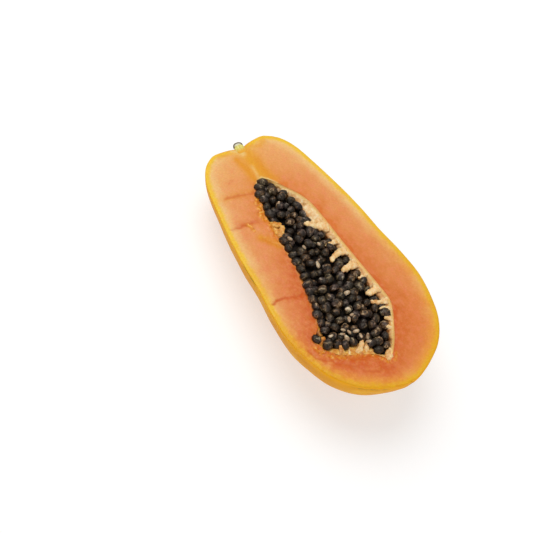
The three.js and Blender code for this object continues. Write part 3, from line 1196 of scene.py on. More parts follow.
@dataclass
class FleshHalf(Piece):
    """The half's flesh with its skin: cut face, hollow wall and round back in one closed shell."""

    name: str = "flesh_half_dressed"
    slot: str = "skin_and_flesh"
    nodes: tuple[str, ...] = ("flesh_half",)
    fruit: FruitForm = field(default_factory=FruitForm)
    hollow: HollowForm = field(default_factory=HollowForm)
    columns: tuple[int, int, int] = (34, 270, 26)
    outer_marks: Pair = (0.16, 0.875)  # shares of the outline that belong to the rim's two ends
    band_rows: int = 54
    crowding: float = 0.12  # draws the rows of a band together at both of its edges
    back_steps: int = 110
    wall_rows: int = 24
    # Cracks are dented a little and painted with shade.
    cracks: tuple[Stroke, ...] = (
        Stroke(((35.4, -33), (37.5, -22), (40, -11)), 1.5, 0.55),
        Stroke(((58.9, -42), (60, -33), (61.5, -25), (63.7, -16.6)), 1.3, 0.85),
        Stroke(((76, -28), (80, -24), (89, -19.5)), 1.2, 0.3),
        Stroke(((121.5, -51), (122.5, -42), (126, -26)), 0.85, 0.95),
    )
    # Folds are dented and painted with shade.
    folds: tuple[Stroke, ...] = (
        Stroke(((163, -49), (171, -45), (178, -38), (185, -30), (193, -23)), 1.2, 0.6),
        Stroke(((193, -23), (198, -14), (200, -3.4)), 1.2, 0.6),
        Stroke(((176.5, -32.4), (180.6, -26.4), (184, -20.6), (186.6, -12.2), (188.8, -8.6)), 1.2, 1),
    )
    # Vascular lines: dented a little and painted darker, partly their colour and partly painted shade in
    # their grooves.
    veins_and_groove_shade: tuple[Stroke, ...] = (
        Stroke(((9.4, -7.6), (14.6, -6.8), (20.3, -5.4), (29, -5.2)), 3, 0.9),
        Stroke(((16, 6), (25, 5.2), (31, 6.4), (36, 8.8)), 3, 0.75),
        Stroke(((35, -36), (36.5, -22), (38.5, -11)), 3, 0.4),
        Stroke(((74, -28.5), (80, -23.5), (86, -20)), 3, 0.95),
    )
    glow: tuple[Stroke, ...] = (
        Stroke(((2, -0.6), (8, 2.2), (18, 0.6), (30, 0.6)), 8, 1),
        Stroke(((3.1, 6.6), (5, 9), (6, 14), (4, 19)), 2.8, 0.7),
        Stroke(((3.8, -7), (3.4, -12), (2.4, -18)), 1.8, 0.6),
    )
    # Pale strips of tissue; the one along the left rim is partly a painted highlight on its edge.
    pale_strips_and_highlight: tuple[Stroke, ...] = (
        Stroke(((1.4, -6.2), (3, -4), (5, -2.2), (7.2, -0.8)), 2.2, 0.75),
        Stroke(((19.6, -0.8), (24.2, -1.2), (27.8, -1.6), (30.6, -2.2)), 1.4, 0.4),
        Stroke(((36, -8), (32.6, -4), (31, 0), (34.5, 3.8), (40, 7.4)), 0.9, 0.9),
        Stroke(((84, -17.8), (100, -18.9), (128, -25.2), (149.5, -31.8), (154, -34.5)), 0.7, 0.6),
    )
    # Soft painted shade beside the cracks.
    crack_shades: tuple[Stroke, ...] = (
        Stroke(((59, -36), (60.5, -26), (62, -18)), 3.4, 0.35),
        Stroke(((122, -44), (125.5, -26)), 2.6, 0.35),
        Stroke(((24.6, -24.2), (24.4, -21.2)), 1.6, 0.35),
    )
    tears: tuple[Stroke, ...] = (
        Stroke(((46, -12.6), (50, -14.2), (55, -16.2), (62, -17.4)), 3),
        Stroke(((60.8, -31.2), (63, -29.8), (66.4, -29.4)), 1.5, 0.95),
        Stroke(((163, -43), (170, -41), (175, -35), (179.5, -28)), 2, 0.6),
        Stroke(((175.6, -31), (180.6, -22), (184, -15.4), (187.4, -9)), 1, 0.45),
        Stroke(((190, -8.6), (196, -5), (196.4, 0), (192, 3.4)), 1.2, 0.5),
    )
    # Dark lines on the skin below the cut: partly marks, partly painted shade.
    dark_lines_and_shade: tuple[Streak, ...] = (
        Streak(Stroke(((198.7, -35), (204.5, -26.6), (209.4, -18.3)), 2.4, 0.6), 3.4),
        Streak(Stroke(((89, -51), (93, -51.4), (98, -51.8), (102, -52.1)), 2), 1.7),
    )
    stains: tuple[Stain, ...] = (
        Stain(1.35, 9.0, (78.0, 116.0), Side.LEFT),
        Stain(0.32, 4.0, (50.0, 150.0), Side.RIGHT),
        Stain(0.42, 9.0, (160.0, 180.0)),
    )
    torn_edge: TornEdge = TornEdge()
    torn_shift: float = 0.8
    torn_gain: float = 1.6
    torn_shade: Pair = (1.1, 0.9)  # a torn place's mean weight, and how much its lumps vary it
    tears_grain: tuple[Grain, ...] = (
        Grain(1.0, 2.6, 3, 11.0), Grain(1.0, 2.6, 3, 12.0), Grain(1.0, 2.6, 3, 13.0),
    )
    wobble: float = 1.6
    wobble_grain: tuple[Grain, ...] = (Grain(1.0, 7.0, 3, 2.0), Grain(1.0, 7.0, 3, 6.0))
    breaks: Grain = Grain(1.0, 9.0, 2, 8.0)
    break_band: Pair = (-0.7, 0.1)
    broken: float = 0.35  # what is left of a crack where it breaks
    crease_shade_shares: Triple = (1.0, 0.9, 0.15)  # of the cracks, the folds and the cracks' clumps
    knife: tuple[Grain, ...] = (Grain(0.22, 26.0), Grain(0.07, 3.2, 2, 5.0))
    calm: Pair = (0.0, 2.0)  # how near the rim the knife's marks and the cracks fade
    edge_drop: float = 0.45
    edge_width: float = 1.3
    crack_depth: float = 0.55
    fold_depth: float = 0.5
    vein_depth: float = 0.1
    back_grain: Grain = Grain(0.22, 17.0, 3, 9.0)
    wall_grain: Grain = Grain(0.3, 4.0, 2, 3.0)
    socket_radius: float = 4.0
    socket_end: float = 6.4
    socket_edge: float = 1.0
    socket_depth: float = 0.3
    scar: Triple = (214.0, 1.5, -5.5)
    scar_grain: Grain = Grain(0.7, 1.8, 2, 17.0)
    scar_depth: float = 0.5
    scar_dent: Pair = (0.5, 2.6)
    scar_cork: Pair = (1.6, 3.2)
    ripening: Pair = (30.0, 215.0)
    stem_tint: Pair = (14.0, 50.0)
    wall_skin: float = 30.0  # the hollow's wall is coloured as if the skin were this far off

    def shares_along(self, steps: Array) -> tuple[Array, Array]:
        """Gives shares of the outline and of the rim that belong together.

        Args:
            steps: Shares of the grid's columns.

        Returns:
            Shares of the outline, and shares of the rim that leave 0 to 1 past its ends.
        """
        first, middle, last = self.columns
        whole = first + middle + last
        knots = [0, first / whole, (first + middle) / whole, 1]
        return np.interp(steps, knots, [0, *self.outer_marks, 1]), np.interp(steps, knots, [-1, 0, 1, 2])

    def inner_line(self, rim: SmoothCurve, share: Array) -> Array:
        """Gives the inner edge of the cut face: the axis, the rim, and the axis again.

        Args:
            rim: The side's rim.
            share: Shares of the rim, which leave 0 to 1 past its ends.

        Returns:
            The points of the edge.
        """
        points = rim.at(np.clip(share, 0, 1))
        start, end = self.fruit.curve.at(0.0), self.fruit.curve.at(1.0)
        before = np.clip(-share, 0, 1)[:, None]
        after = np.clip(share - 1, 0, 1)[:, None]
        points = points + (np.array([start[0], 0.0]) - points) * before
        return points + (np.array([end[0], 0.0]) - points) * after

    def band(self, side: Side) -> Rule:
        """Gives the rule of one side's band of the cut face.

        Args:
            side: The side.

        Returns:
            The rule, for add_grid.
        """
        rim = self.hollow.rim_left if side is Side.LEFT else self.hollow.rim_right

        def rule(along: Array, across: Array) -> Array:
            """Maps the shares to the band.

            Args:
                along: Shares from the stem end to the blossom end.
                across: Shares from the outline to the rim.

            Returns:
                The points.
            """
            outer_share, rim_share = self.shares_along(along)
            outer = self.fruit.curve.at(outer_share)
            outer[:, 1] = np.where((outer_share == 0) | (outer_share == 1), 0, side.value * outer[:, 1])
            inner = self.inner_line(rim, rim_share)
            eased = across - self.crowding * np.sin(2 * math.pi * across) / math.pi
            flat = outer + (inner - outer) * eased[:, None]
            return np.column_stack([flat, np.zeros(len(flat))])

        return rule

    def wall(self, along: Array, across: Array) -> Array:
        """Maps shares to the hollow's wall.

        Args:
            along: Shares of the hollow's length.
            across: Shares from the left rim to the right one.

        Returns:
            The points.
        """
        rungs = self.hollow.rungs(along)
        angle = math.pi * across
        flat = rungs.point(-np.cos(angle))
        flat[across == 0] = self.hollow.rim_left.at(along[across == 0])
        flat[across == 1] = self.hollow.rim_right.at(along[across == 1])
        edge = (across == 0) | (across == 1)
        return np.column_stack([flat, np.where(edge, 0, -rungs.depth * np.sin(angle))])

    def back(self, bm: Mesh) -> None:
        """Adds the round back: the outline spun under the cut face, then ribbed.

        Args:
            bm: Mesh that the back is added to.
        """
        steps = np.linspace(0, 1, sum(self.columns) + 1)
        profile = self.fruit.curve.at(self.shares_along(steps)[0])
        profile[[0, -1], 1] = 0
        made = add_half_turn(bm, profile, self.back_steps)
        for vert in made:
            if abs(vert.co.z) > WELD:
                factor = self.fruit.rib(vert.co.y, vert.co.z)
                vert.co.y *= factor
                vert.co.z *= factor * self.fruit.depth_share
            else:
                vert.co.z = 0
        paint_faces(made, SKIN)

    def shell(self) -> Mesh:
        """Builds the closed shell in the fruit's frame, before any fine relief.

        Returns:
            The shell.
        """
        bm = bmesh.new()
        self.back(bm)
        columns = sum(self.columns)
        for side in Side:
            paint_faces(add_grid(bm, columns, self.band_rows, self.band(side)), FLESH)
        paint_faces(add_grid(bm, self.columns[1], self.wall_rows, self.wall), FLESH)
        weld(bm, bm.verts)
        bmesh.ops.dissolve_degenerate(bm, dist=WELD / 2, edges=bm.edges)
        face_outwards(bm)
        return bm

    def survey(self, bm: Mesh) -> Survey:
        """Measures where the shell's vertices are.

        Args:
            bm: The shell.

        Returns:
            The measures.
        """
        points = points_of(bm)
        on_cut = points[:, 2] > -WELD
        in_hollow = np.zeros(len(points), bool)
        for face in bm.faces:
            if face.material_index == FLESH:
                for vert in face.verts:
                    in_hollow[vert.index] = vert.co.z < -WELD
        skin = np.where(in_hollow, self.wall_skin, gap_inside(points, self.fruit.curve))
        rim = self.hollow.rim_gap(points[:, :2])
        return Survey(points, on_cut, in_hollow, skin, rim, np.where(on_cut, rim, 0))

    def marks(self, at: Survey) -> Marks:
        """Weighs the marks that change the shape.

        Args:
            at: The shell's measures.

        Returns:
            The weights.
        """
        points, flat = at.points, at.points[:, :2]
        wobble = np.column_stack([grain.at(points) for grain in self.wobble_grain])
        drawn = flat + self.wobble * wobble
        whole = smoothstep(self.breaks.at(points), *self.break_band)
        torn = np.maximum(self.torn_edge.weight(points, at.rim), heaviest(self.tears, flat))
        return Marks(
            crack=heaviest(self.cracks, drawn) * between((self.broken, 1.0), whole),
            fold=heaviest(self.folds, drawn),
            vein_and_groove_shade=heaviest(self.veins_and_groove_shade, flat),
            torn=np.where(at.on_cut | at.in_hollow, torn, 0),
            clumps=wobble[:, 0],
            tears=np.column_stack([grain.at(points) for grain in self.tears_grain]),
            scar_gap=np.linalg.norm(points - self.scar, axis=1) + self.scar_grain.at(points),
        )

    def lift(self, at: Survey, marks: Marks) -> Array:
        """Gives the cut face's relief: the knife's marks, cracks, folds and the stub's socket.

        Args:
            at: The shell's measures.
            marks: The weights of its marks.

        Returns:
            The heights, nought off the cut face.
        """
        x, y = at.points[:, 0], at.points[:, 1]
        beside = smoothstep(np.abs(y), self.socket_radius - self.socket_edge, self.socket_radius)
        within = 1 - smoothstep(x, self.socket_end - self.socket_edge, self.socket_end)
        socket = (1 - beside) * within
        calm = smoothstep(at.hollow, *self.calm)
        knife = sum_of(self.knife, at.points) * calm
        drop = -self.edge_drop * (1 - smoothstep(at.skin, 0.0, self.edge_width))
        drop = drop - self.crack_depth * marks.crack * calm
        drop = drop - self.fold_depth * marks.fold - self.vein_depth * marks.vein_and_groove_shade
        return np.where(at.on_cut, (knife + drop) * (1 - socket) - self.socket_depth * socket, 0)

    def bulge(self, at: Survey, marks: Marks) -> Array:
        """Gives the relief of the skin and of the hollow's wall, with the dent of the scar.

        Args:
            at: The shell's measures.
            marks: The weights of its marks.

        Returns:
            The heights.
        """
        back = np.where(~at.on_cut & ~at.in_hollow, self.back_grain.at(at.points), 0)
        wall = np.where(at.in_hollow, self.wall_grain.at(at.points), 0)
        return back + wall - self.scar_depth * (1 - smoothstep(marks.scar_gap, *self.scar_dent))

    def numbers(self, at: Survey, marks: Marks) -> dict[str, Array]:
        """Gives what the finishes read from the mesh.

        Args:
            at: The shell's measures.
            marks: The weights of its marks.

        Returns:
            The numbers and vectors, by name.
        """
        points, flat, face = at.points, at.points[:, :2], at.on_cut.astype(float)
        # Painted shade in cracks and folds, uneven along the cracks.
        of_cracks, of_folds, of_clumps = self.crease_shade_shares
        fibre_and_crease_shade = of_cracks * marks.crack + of_folds * marks.fold + of_clumps * marks.clumps * marks.crack
        bruise_and_crack_shade = sum(stain.weight(points, at.hollow) for stain in self.stains)
        mean, vary = self.torn_shade
        return {
            "fruit": points,
            "skin_mm": at.skin,
            "depth_share": at.hollow / np.maximum(at.hollow + at.skin, TINY),
            "below_cut": np.maximum(-points[:, 2], 0),
            "ripe": smoothstep(points[:, 0], *self.ripening),
            "fibre_and_crease_shade": np.clip(fibre_and_crease_shade, 0, 1) * face,
            "bruise_and_crack_shade": np.clip(bruise_and_crack_shade + heaviest(self.crack_shades, flat), 0, 1) * face,
            "vein_and_groove_shade": marks.vein_and_groove_shade * face,
            "glow": heaviest(self.glow, flat) * face,
            "torn": np.clip(marks.torn * (mean + vary * marks.tears[:, 0]), 0, 1),
            "pale_strip_and_highlight": heaviest(self.pale_strips_and_highlight, flat) * face,
            "dark_line_and_shade": np.max([dark_line_and_shade.weight(points) for dark_line_and_shade in self.dark_lines_and_shade], axis=0),
            "stem": 1 - smoothstep(points[:, 0], *self.stem_tint),
            "cork": 1 - smoothstep(marks.scar_gap, *self.scar_cork),
        }

    def build(self, place: Placement) -> bpy.types.Object:
        """Builds, marks and dresses the piece.

        Args:
            place: How the half lies; it is settled on the solid here.

        Returns:
            The piece.
        """
        bm = self.shell()
        at = self.survey(bm)
        place.settle(at.points, "flesh_half")
        marks = self.marks(at)
        moved = swell(bm, self.bulge(at, marks))
        moved[:, 2] += self.lift(at, marks)
        moved += self.torn_shift * marks.tears * np.minimum(self.torn_gain * marks.torn, 1)[:, None]
        move_points(bm.verts, moved)
        materials = [SkinFinish().make(), FleshFinish().make()]
        return self.finish(bm, place, materials, self.numbers(at, marks))


# ---- The lining of the hollow ----


@dataclass
class Placenta(Piece):
    """The pale lining of the hollow, with banks and fingers that hold the bed of seeds."""

    name: str = "placenta_dressed"
    slot: str = "placenta"
    nodes: tuple[str, ...] = ("placenta",)
    hollow: HollowForm = field(default_factory=HollowForm)
    bed: SeedBed = field(default_factory=SeedBed)
    columns: int = 330
    rows: int = 180
    lip: float = 0.1
    bank_depths: Pair = (0.6, 3.2)
    bank_reach: float = 4.0
    side_blend: Pair = (-6.0, 4.0)
    bed_depth: float = 8.0
    bed_wall: Pair = (-0.2, 2.0)
    edge_round: float = 1.0
    wall_share: float = 0.97  # how much of the hollow's depth the visible face may take
    lumps: tuple[Grain, ...] = (Grain(0.4, 4.6, 3), Grain(0.1, 1.3, 2, 4.0))
    rim_free: Pair = (0.2, 2.0)  # how near the rim the lumps fade
    end_blend: Pair = (180.0, 190.0)
    end_share: float = 0.6  # how much of the left side's own colour is lost at the blossom end

    def top(self, rungs: Rungs, place: Array) -> Array:
        """Gives the height of the lining's visible face.

        Args:
            rungs: The hollow's rungs.
            place: Places on them, from rim to rim.

        Returns:
            The heights.
        """
        flat = rungs.point(place)
        bank = between(self.bank_depths, smoothstep(flat[:, 1], *self.side_blend))
        slope = self.lip + bank * (1 - np.exp(-self.hollow.rim_gap(flat) / self.bank_reach))
        clear = self.bed.clearance(flat)
        edge = self.edge_round * np.exp(-np.maximum(clear, 0) / self.edge_round)
        fall = self.bed_depth * smoothstep(-clear, *self.bed_wall)
        wall = rungs.depth * np.sqrt(np.maximum(1 - place**2, 0))
        return -np.minimum(slope + edge + fall, self.wall_share * wall)

    def sheet(self, along: Array, across: Array) -> Array:
        """Maps shares to the lining: its visible face, then its back along the hollow's wall.

        Args:
            along: Shares of the hollow's length.
            across: Shares over the face and back again.

        Returns:
            The points.
        """
        visible = across < 0.5
        turn = np.where(visible, across * 2, 2 - across * 2)
        place = -np.cos(math.pi * turn)
        rungs = self.hollow.rungs(along)
        wall = -rungs.depth * np.sqrt(np.maximum(1 - place**2, 0))
        height = np.where(visible, self.top(rungs, place), wall)
        return np.column_stack([rungs.point(place), height])

    def build(self, place: Placement) -> bpy.types.Object:
        """Builds and dresses the lining.

        Args:
            place: How the half lies.

        Returns:
            The piece.
        """
        bm = bmesh.new()
        add_grid(bm, self.columns, self.rows, self.sheet)
        weld(bm, bm.verts)
        points = points_of(bm)
        flat = points[:, :2]
        rim = self.hollow.rim_gap(flat)
        points[:, 2] += sum_of(self.lumps, points) * smoothstep(rim, *self.rim_free)
        move_points(bm.verts, points)
        left = 1 - smoothstep(flat[:, 1], *self.side_blend)
        numbers = {
            "fruit": points,
            "rim_mm": rim,
            # The distance from the seeds' edge sets the lining's painted shade and stain.
            "clear_of_shade_mm": self.bed.clearance(flat),
            "left": left * (1 - self.end_share * smoothstep(flat[:, 0], *self.end_blend)),
        }
        return self.finish(bm, place, [LiningFinish().make()], numbers)


# ---- The seeds ----


@dataclass
class Heap:
    """The heap of seeds: how high it stands over each point of the hollow, and who lies where."""

    hollow: HollowForm = field(default_factory=HollowForm)
    bed: SeedBed = field(default_factory=SeedBed)
    clearance: float = 0.3
    left: float = 0.4
    right: float = -4.4
    fall: Pair = (0.52, 0.98)
    clumps: int = 7
    clump_height: float = 1.6
    stem_end: Pair = (0.0, 0.12)
    stem_drop: float = 2.2
    blossom_end: Pair = (0.88, 1.0)
    blossom_drop: float = 1.6
    stations: int = 400
    least_reach: float = 1.0  # of a rung, where the hollow narrows to a point
    bed_margins: Pair = (0.2, 1.2)
    margin_blend: Pair = (0.2, 0.6)
    finger_room: float = 1.1
    layers: tuple[Pair, ...] = (
        (7.2, 0), (6.7, 0), (6.3, 0.2), (5.9, 0.6), (5.5, 1), (5.1, 1.4), (4.8, 2),
    )  # the least distance between middles, and how deep those seeds sink
    tries: int = 1500
    row_step: float = 6.1
    row_inset: float = 1.2
    row_uneven: Pair = (0.6, 0.8)  # the least share of the inset, and what a draw adds
    row_rise: float = 0.8
    row_gap: float = 0.9  # share of the step that seeds of the row keep between them
    look_ahead: float = 0.5  # how far along the row its direction is taken
    lone_seed: Triple = (158.6, -39.4, 1.0)
    lone_turn: float = 0.25
    along: Pair = (0.01, 0.985)
    across: Pair = (0.01, 0.96)
    lean: float = 0.6
    jitter: float = 1.2
    draw_start: int = 20241

    def height(self, along: Number, across: Number) -> Number:
        """Gives the heap's height.

        Args:
            along: Shares of the hollow's length.
            across: Shares from the left rim to the right one.

        Returns:
            The heights.
        """
        fall = smoothstep(across, *self.fall)
        right = self.right + self.clump_height * np.sin(2 * math.pi * self.clumps * along)
        stem = self.stem_drop * (1 - smoothstep(along, *self.stem_end))
        blossom = self.blossom_drop * smoothstep(along, *self.blossom_end)
        return self.left + (right - self.left) * fall - stem - blossom

    def height_at(self, x: float, y: float) -> float:
        """Gives the heap's height over a point of the cut face.

        Args:
            x: The point's place along the fruit.
            y: Its place across it.

        Returns:
            The height.
        """
        shares = np.linspace(0, 1, self.stations)
        rungs = self.hollow.rungs(shares)
        along = float(np.interp(x, rungs.middle[:, 0], shares))
        rung = self.hollow.rungs(np.array([along]))
        across = (y - rung.middle[0, 1]) / max(rung.half[0, 1], self.least_reach)
        return float(self.height(along, min(max((1 + across) / 2, 0.0), 1.0)))

    def left_row(self, draw: Draw) -> list[Vector]:
        """Places a row of seeds along the left edge of the bed.

        Args:
            draw: The draw of numbers.

        Returns:
            The seeds' middles.
        """
        line = np.array(self.bed.left)
        runs = np.concatenate([[0.0], np.cumsum(np.linalg.norm(np.diff(line, axis=0), axis=1))])
        least, more = self.row_uneven
        found = [Vector(self.lone_seed)]
        for run in np.arange(0.5 * self.row_step, runs[-1], self.row_step):
            places = (run, run + self.look_ahead)
            spot, ahead = ([np.interp(place, runs, line[:, k]) for k in (0, 1)] for place in places)
            way = Vector((ahead[0] - spot[0], ahead[1] - spot[1])).normalized()
            inset = self.row_inset * (least + more * draw())
            x, y = spot[0] + inset * way.y, spot[1] - inset * way.x
            centre = Vector((x, y, self.height_at(x, y) + self.row_rise * draw()))
            is_open = self.bed.room(np.array([[x, y]]))[0] > self.finger_room
            if is_open and all((other - centre).length > self.row_gap * self.row_step for other in found):
                found.append(centre)
        return found[1:]

    def places(self) -> list[tuple[Vector, Euler]]:
        """Places the seeds, none nearer to another than its layer's spacing.

        Returns:
            A middle and a turn for each seed.
        """
        draw = random_draw(self.draw_start)
        found = [(Vector(self.lone_seed), Euler((0, 0, self.lone_turn)))]
        found += [(centre, Euler((0, 0, math.pi * draw()))) for centre in self.left_row(draw)]
        for spacing, sink in self.layers:
            # each try draws its places along and across, its height, two leans and a turn
            shares = np.array([[draw() for _ in range(6)] for _ in range(self.tries)])
            along, across = between(self.along, shares[:, 0]), between(self.across, shares[:, 1])
            flat = self.hollow.rungs(along, self.clearance).point(2 * across - 1)
            height = self.height(along, across) + self.jitter * (2 * shares[:, 2] - 1) - sink
            margin = between(self.bed_margins, smoothstep(across, *self.margin_blend))
            fits = (self.bed.clearance(flat) < -margin) & (self.bed.room(flat) > self.finger_room)
            for place, z, (lean_x, lean_y, turn) in zip(flat[fits], height[fits], shares[fits, 3:]):
                centre = Vector((*place, z))
                if all((other - centre).length >= spacing for other, _ in found):
                    leans = [self.lean * (2 * lean_x - 1), self.lean * (2 * lean_y - 1), math.pi * turn]
                    found.append((centre, Euler(leans, "XYZ")))
        return found


@dataclass
class SeedHeap(Piece):
    """The black seeds in their wet skins, over a dark core that is painted as the shade beneath them."""

    name: str = "seeds_dressed"
    slot: str = "seeds"
    nodes: tuple[str, ...] = ("seed_mass",)
    heap: Heap = field(default_factory=Heap)
    length: float = 8.3
    width: float = 6.4
    flatness: Pair = (0.85, 1.0)
    segments: int = 10
    rings: int = 7
    size_range: Pair = (0.82, 1.12)
    lump_size: float = 2.0
    lump_share: float = 0.11
    tones: Pair = (-0.16, 0.38)
    core_drop: float = 3.6
    core_inset: float = 2.2
    core_depth: float = 0.8  # share of the hollow's depth that the core's top may sink to
    core_steps: tuple[int, int] = (90, 24)
    draw_start: int = 5150

    def core(self, along: Array, around: Array) -> Array:
        """Maps shares to the core: a closed form that fills the hollow up to the seeds.

        Args:
            along: Shares of the hollow's length.
            around: Shares of a whole turn.

        Returns:
            The points.
        """
        rungs = self.heap.hollow.rungs(along, self.core_inset)
        angle = 2 * math.pi * around
        across, up = -np.cos(angle), -np.sin(angle)
        top = self.heap.height(along, (1 + across) / 2) - self.core_drop
        top = np.maximum(top, -self.core_depth * rungs.depth)
        rise = (rungs.depth + top) * np.minimum(up, 0)
        return np.column_stack([rungs.point(across), top + rise])

    def seed(self, bm: Mesh, centre: Vector, turn: Matrix, scale: Vector) -> list[float]:
        """Adds one seed, wrinkled.

        Args:
            bm: Mesh that the seed is added to.
            centre: The seed's middle.
            turn: How it lies.
            scale: Its length, width and thickness.

        Returns:
            How near each of its vertices is to the seed's edge, from 0 to 1.
        """
        shape = Matrix.Translation(centre) @ turn.to_4x4() @ Matrix.Diagonal((*scale, 1))
        made = add_seed(bm, self.segments, self.rings, shape)
        axis = turn @ Vector((0, 0, 1))
        # The edge measure places each seed's paler ring of skin and painted sheen.
        edges = []
        for vert in made:
            arm = vert.co - centre
            height = min(abs(arm.dot(axis)) / (0.5 * scale.z), 1.0)
            edges.append(math.sqrt(1 - height * height))
            vert.co += arm * self.lump_share * noise.noise(vert.co / self.lump_size)
        paint_faces(made, SEED)
        return edges

    def build(self, place: Placement) -> bpy.types.Object:
        """Builds and dresses the seeds.

        Args:
            place: How the half lies.

        Returns:
            The piece.
        """
        bm = bmesh.new()
        # The core: the deeper seeds, painted near black as shade.
        weld(bm, add_grid(bm, *self.core_steps, self.core))
        paint_faces(bm.verts, CORE)
        tones = [0.0] * len(bm.verts)
        edges = [0.0] * len(bm.verts)
        draw = random_draw(self.draw_start)
        for centre, turn in self.heap.places():
            size = between(self.size_range, draw())
            tone = between(self.tones, draw() ** 2)
            scale = Vector((self.length, self.width, self.width * between(self.flatness, draw()))) * size
            made = self.seed(bm, centre, turn.to_matrix(), scale)
            edges += made
            tones += [tone] * len(made)
        numbers = {"fruit": points_of(bm), "tone": np.array(tones), "edge": np.array(edges)}
        return self.finish(bm, place, [SeedFinish().make(), CoreShadeFinish().make()], numbers)


@dataclass
class PaleSeeds(Piece):
    """The few pale, empty seeds on the heap."""

    name: str = "pale_seeds"
    slot: str = "placenta"
    nodes: tuple[str, ...] = ()
    heap: Heap = field(default_factory=Heap)
    spots: Points = (
        (57.2, -3), (95.9, -7.1), (98.3, 3.6), (112.1, -6.7), (85.4, -12.3), (139.8, -1.7), (150.5, -8.1),
        (157.2, -12), (162.1, -20.5), (165.3, -17.7), (168.3, -21.6), (166.9, -13), (173.8, -8.2),
        (177.4, -9.6), (161.9, -30.4), (164.4, -22.6), (171, -12), (46, 4.6), (155.4, -8.4),
    )
    colours: Stops = ((0.3, "6E563E"), (0.46, "AE9272"), (0.66, "E0CCAC"))
    length: float = 5.4
    width: float = 3.0
    flatness: float = 0.9
    size_range: Pair = (0.6, 1.0)
    segments: int = 14
    rings: int = 9
    rise: float = 2.5
    lumps: Grain = Grain(0.3, 1.7, 2, 21.0)
    draw_start: int = 31

    def build(self, place: Placement) -> bpy.types.Object:
        """Builds and dresses the pale seeds.

        Args:
            place: How the half lies.

        Returns:
            The piece.
        """
        bm = bmesh.new()
        draw = random_draw(self.draw_start)
        for x, y in self.spots:
            size = between(self.size_range, draw())
            turn = Euler((draw() - 0.5, draw() - 0.5, math.pi * draw())).to_matrix().to_4x4()
            width = self.width * size
            scale = Matrix.Diagonal((self.length * size, width, self.flatness * width, 1))
            middle = Matrix.Translation((x, y, self.heap.height_at(x, y) + self.rise))
            add_seed(bm, self.segments, self.rings, middle @ turn @ scale)
        points = points_of(bm)
        move_points(bm.verts, swell(bm, self.lumps.at(points)))
        plain = np.zeros(len(points))
        numbers = {"fruit": points, "rim_mm": plain + CLEAR, "clear_of_shade_mm": plain + CLEAR, "left": plain}
        finish = LiningFinish(name="papaya_pale_seed", base=self.colours)
        return self.finish(bm, place, [finish.make()], numbers)


@dataclass
class Fingers(Piece):
    """The pale fingers that reach from the lining out between the seeds, with painted shade on their sides
    and undersides.
    """

    name: str = "lining_fingers"
    slot: str = "placenta"
    nodes: tuple[str, ...] = ()
    bed: SeedBed = field(default_factory=SeedBed)
    heap: Heap = field(default_factory=Heap)
    steps: tuple[int, int] = (30, 14)
    divisions: int = 400
    root_depth: float = 1.7
    rise: float = 0.8
    arch: float = 0.3
    thickness: Pair = (1.25, 0.9)
    blunt: int = 6  # the power that keeps a finger thick up to its ends
    look: float = 0.03  # how far ahead and back its direction is taken
    flare: float = 1.3
    flare_reach: float = 0.2
    flatness: float = 0.7
    lumps: Grain = Grain(1.0, 2.2, 3, 7.0)
    lump_height: float = 0.85
    stain_and_shade_lumps: float = 2.0

    def tube(self, finger: Finger) -> Rule:
        """Gives the rule that wraps a grid round one finger.

        Args:
            finger: The finger.

        Returns:
            The rule, for add_grid.
        """
        line = SmoothCurve(finger.points, self.divisions)
        ends = (-self.root_depth, self.heap.height_at(*finger.points[-1]) + self.rise)

        def rule(along: Array, around: Array) -> Array:
            """Maps the shares to the finger.

            Args:
                along: Shares of its length.
                around: Shares of a whole turn.

            Returns:
                The points.
            """
            ahead, back = np.minimum(along + self.look, 1), np.maximum(along - self.look, 0)
            way = line.at(ahead) - line.at(back)
            side = np.column_stack([-way[:, 1], way[:, 0]]) / np.linalg.norm(way, axis=1)[:, None]
            taper = np.sqrt(np.maximum(1 - (2 * along - 1) ** self.blunt, 0))
            radius = finger.width / 2 * taper * between(self.thickness, along)
            flare = 1 + self.flare * np.exp(-along / self.flare_reach)
            angle = 2 * math.pi * around
            height = between(ends, along) + self.arch * np.sin(math.pi * along)
            flat = line.at(along) + side * (flare * radius * np.cos(angle))[:, None]
            return np.column_stack([flat, height + self.flatness * radius * np.sin(angle)])

        return rule

    def build(self, place: Placement) -> bpy.types.Object:
        """Builds and dresses the fingers.

        Args:
            place: How the half lies.

        Returns:
            The piece.
        """
        bm = bmesh.new()
        orange: list[float] = []
        for finger in self.bed.fingers:
            weld(bm, add_grid(bm, *self.steps, self.tube(finger)))
            orange += [finger.orange] * (len(bm.verts) - len(orange))
        face_outwards(bm)
        points, upward = points_of(bm), normals_of(bm)[:, 2]
        lumps = self.lumps.at(points)
        move_points(bm.verts, swell(bm, self.lump_height * lumps))
        numbers = {
            "fruit": points,
            "rim_mm": np.full(len(points), CLEAR),
            # Painted shade: tops that face up stay pale, sides and undersides turn brown as if shaded.
            "clear_of_shade_mm": CLEAR * np.maximum(upward, 0) + self.stain_and_shade_lumps * lumps,
            "left": np.array(orange),
        }
        return self.finish(bm, place, [LiningFinish().make()], numbers)


# ---- The stem's stub ----


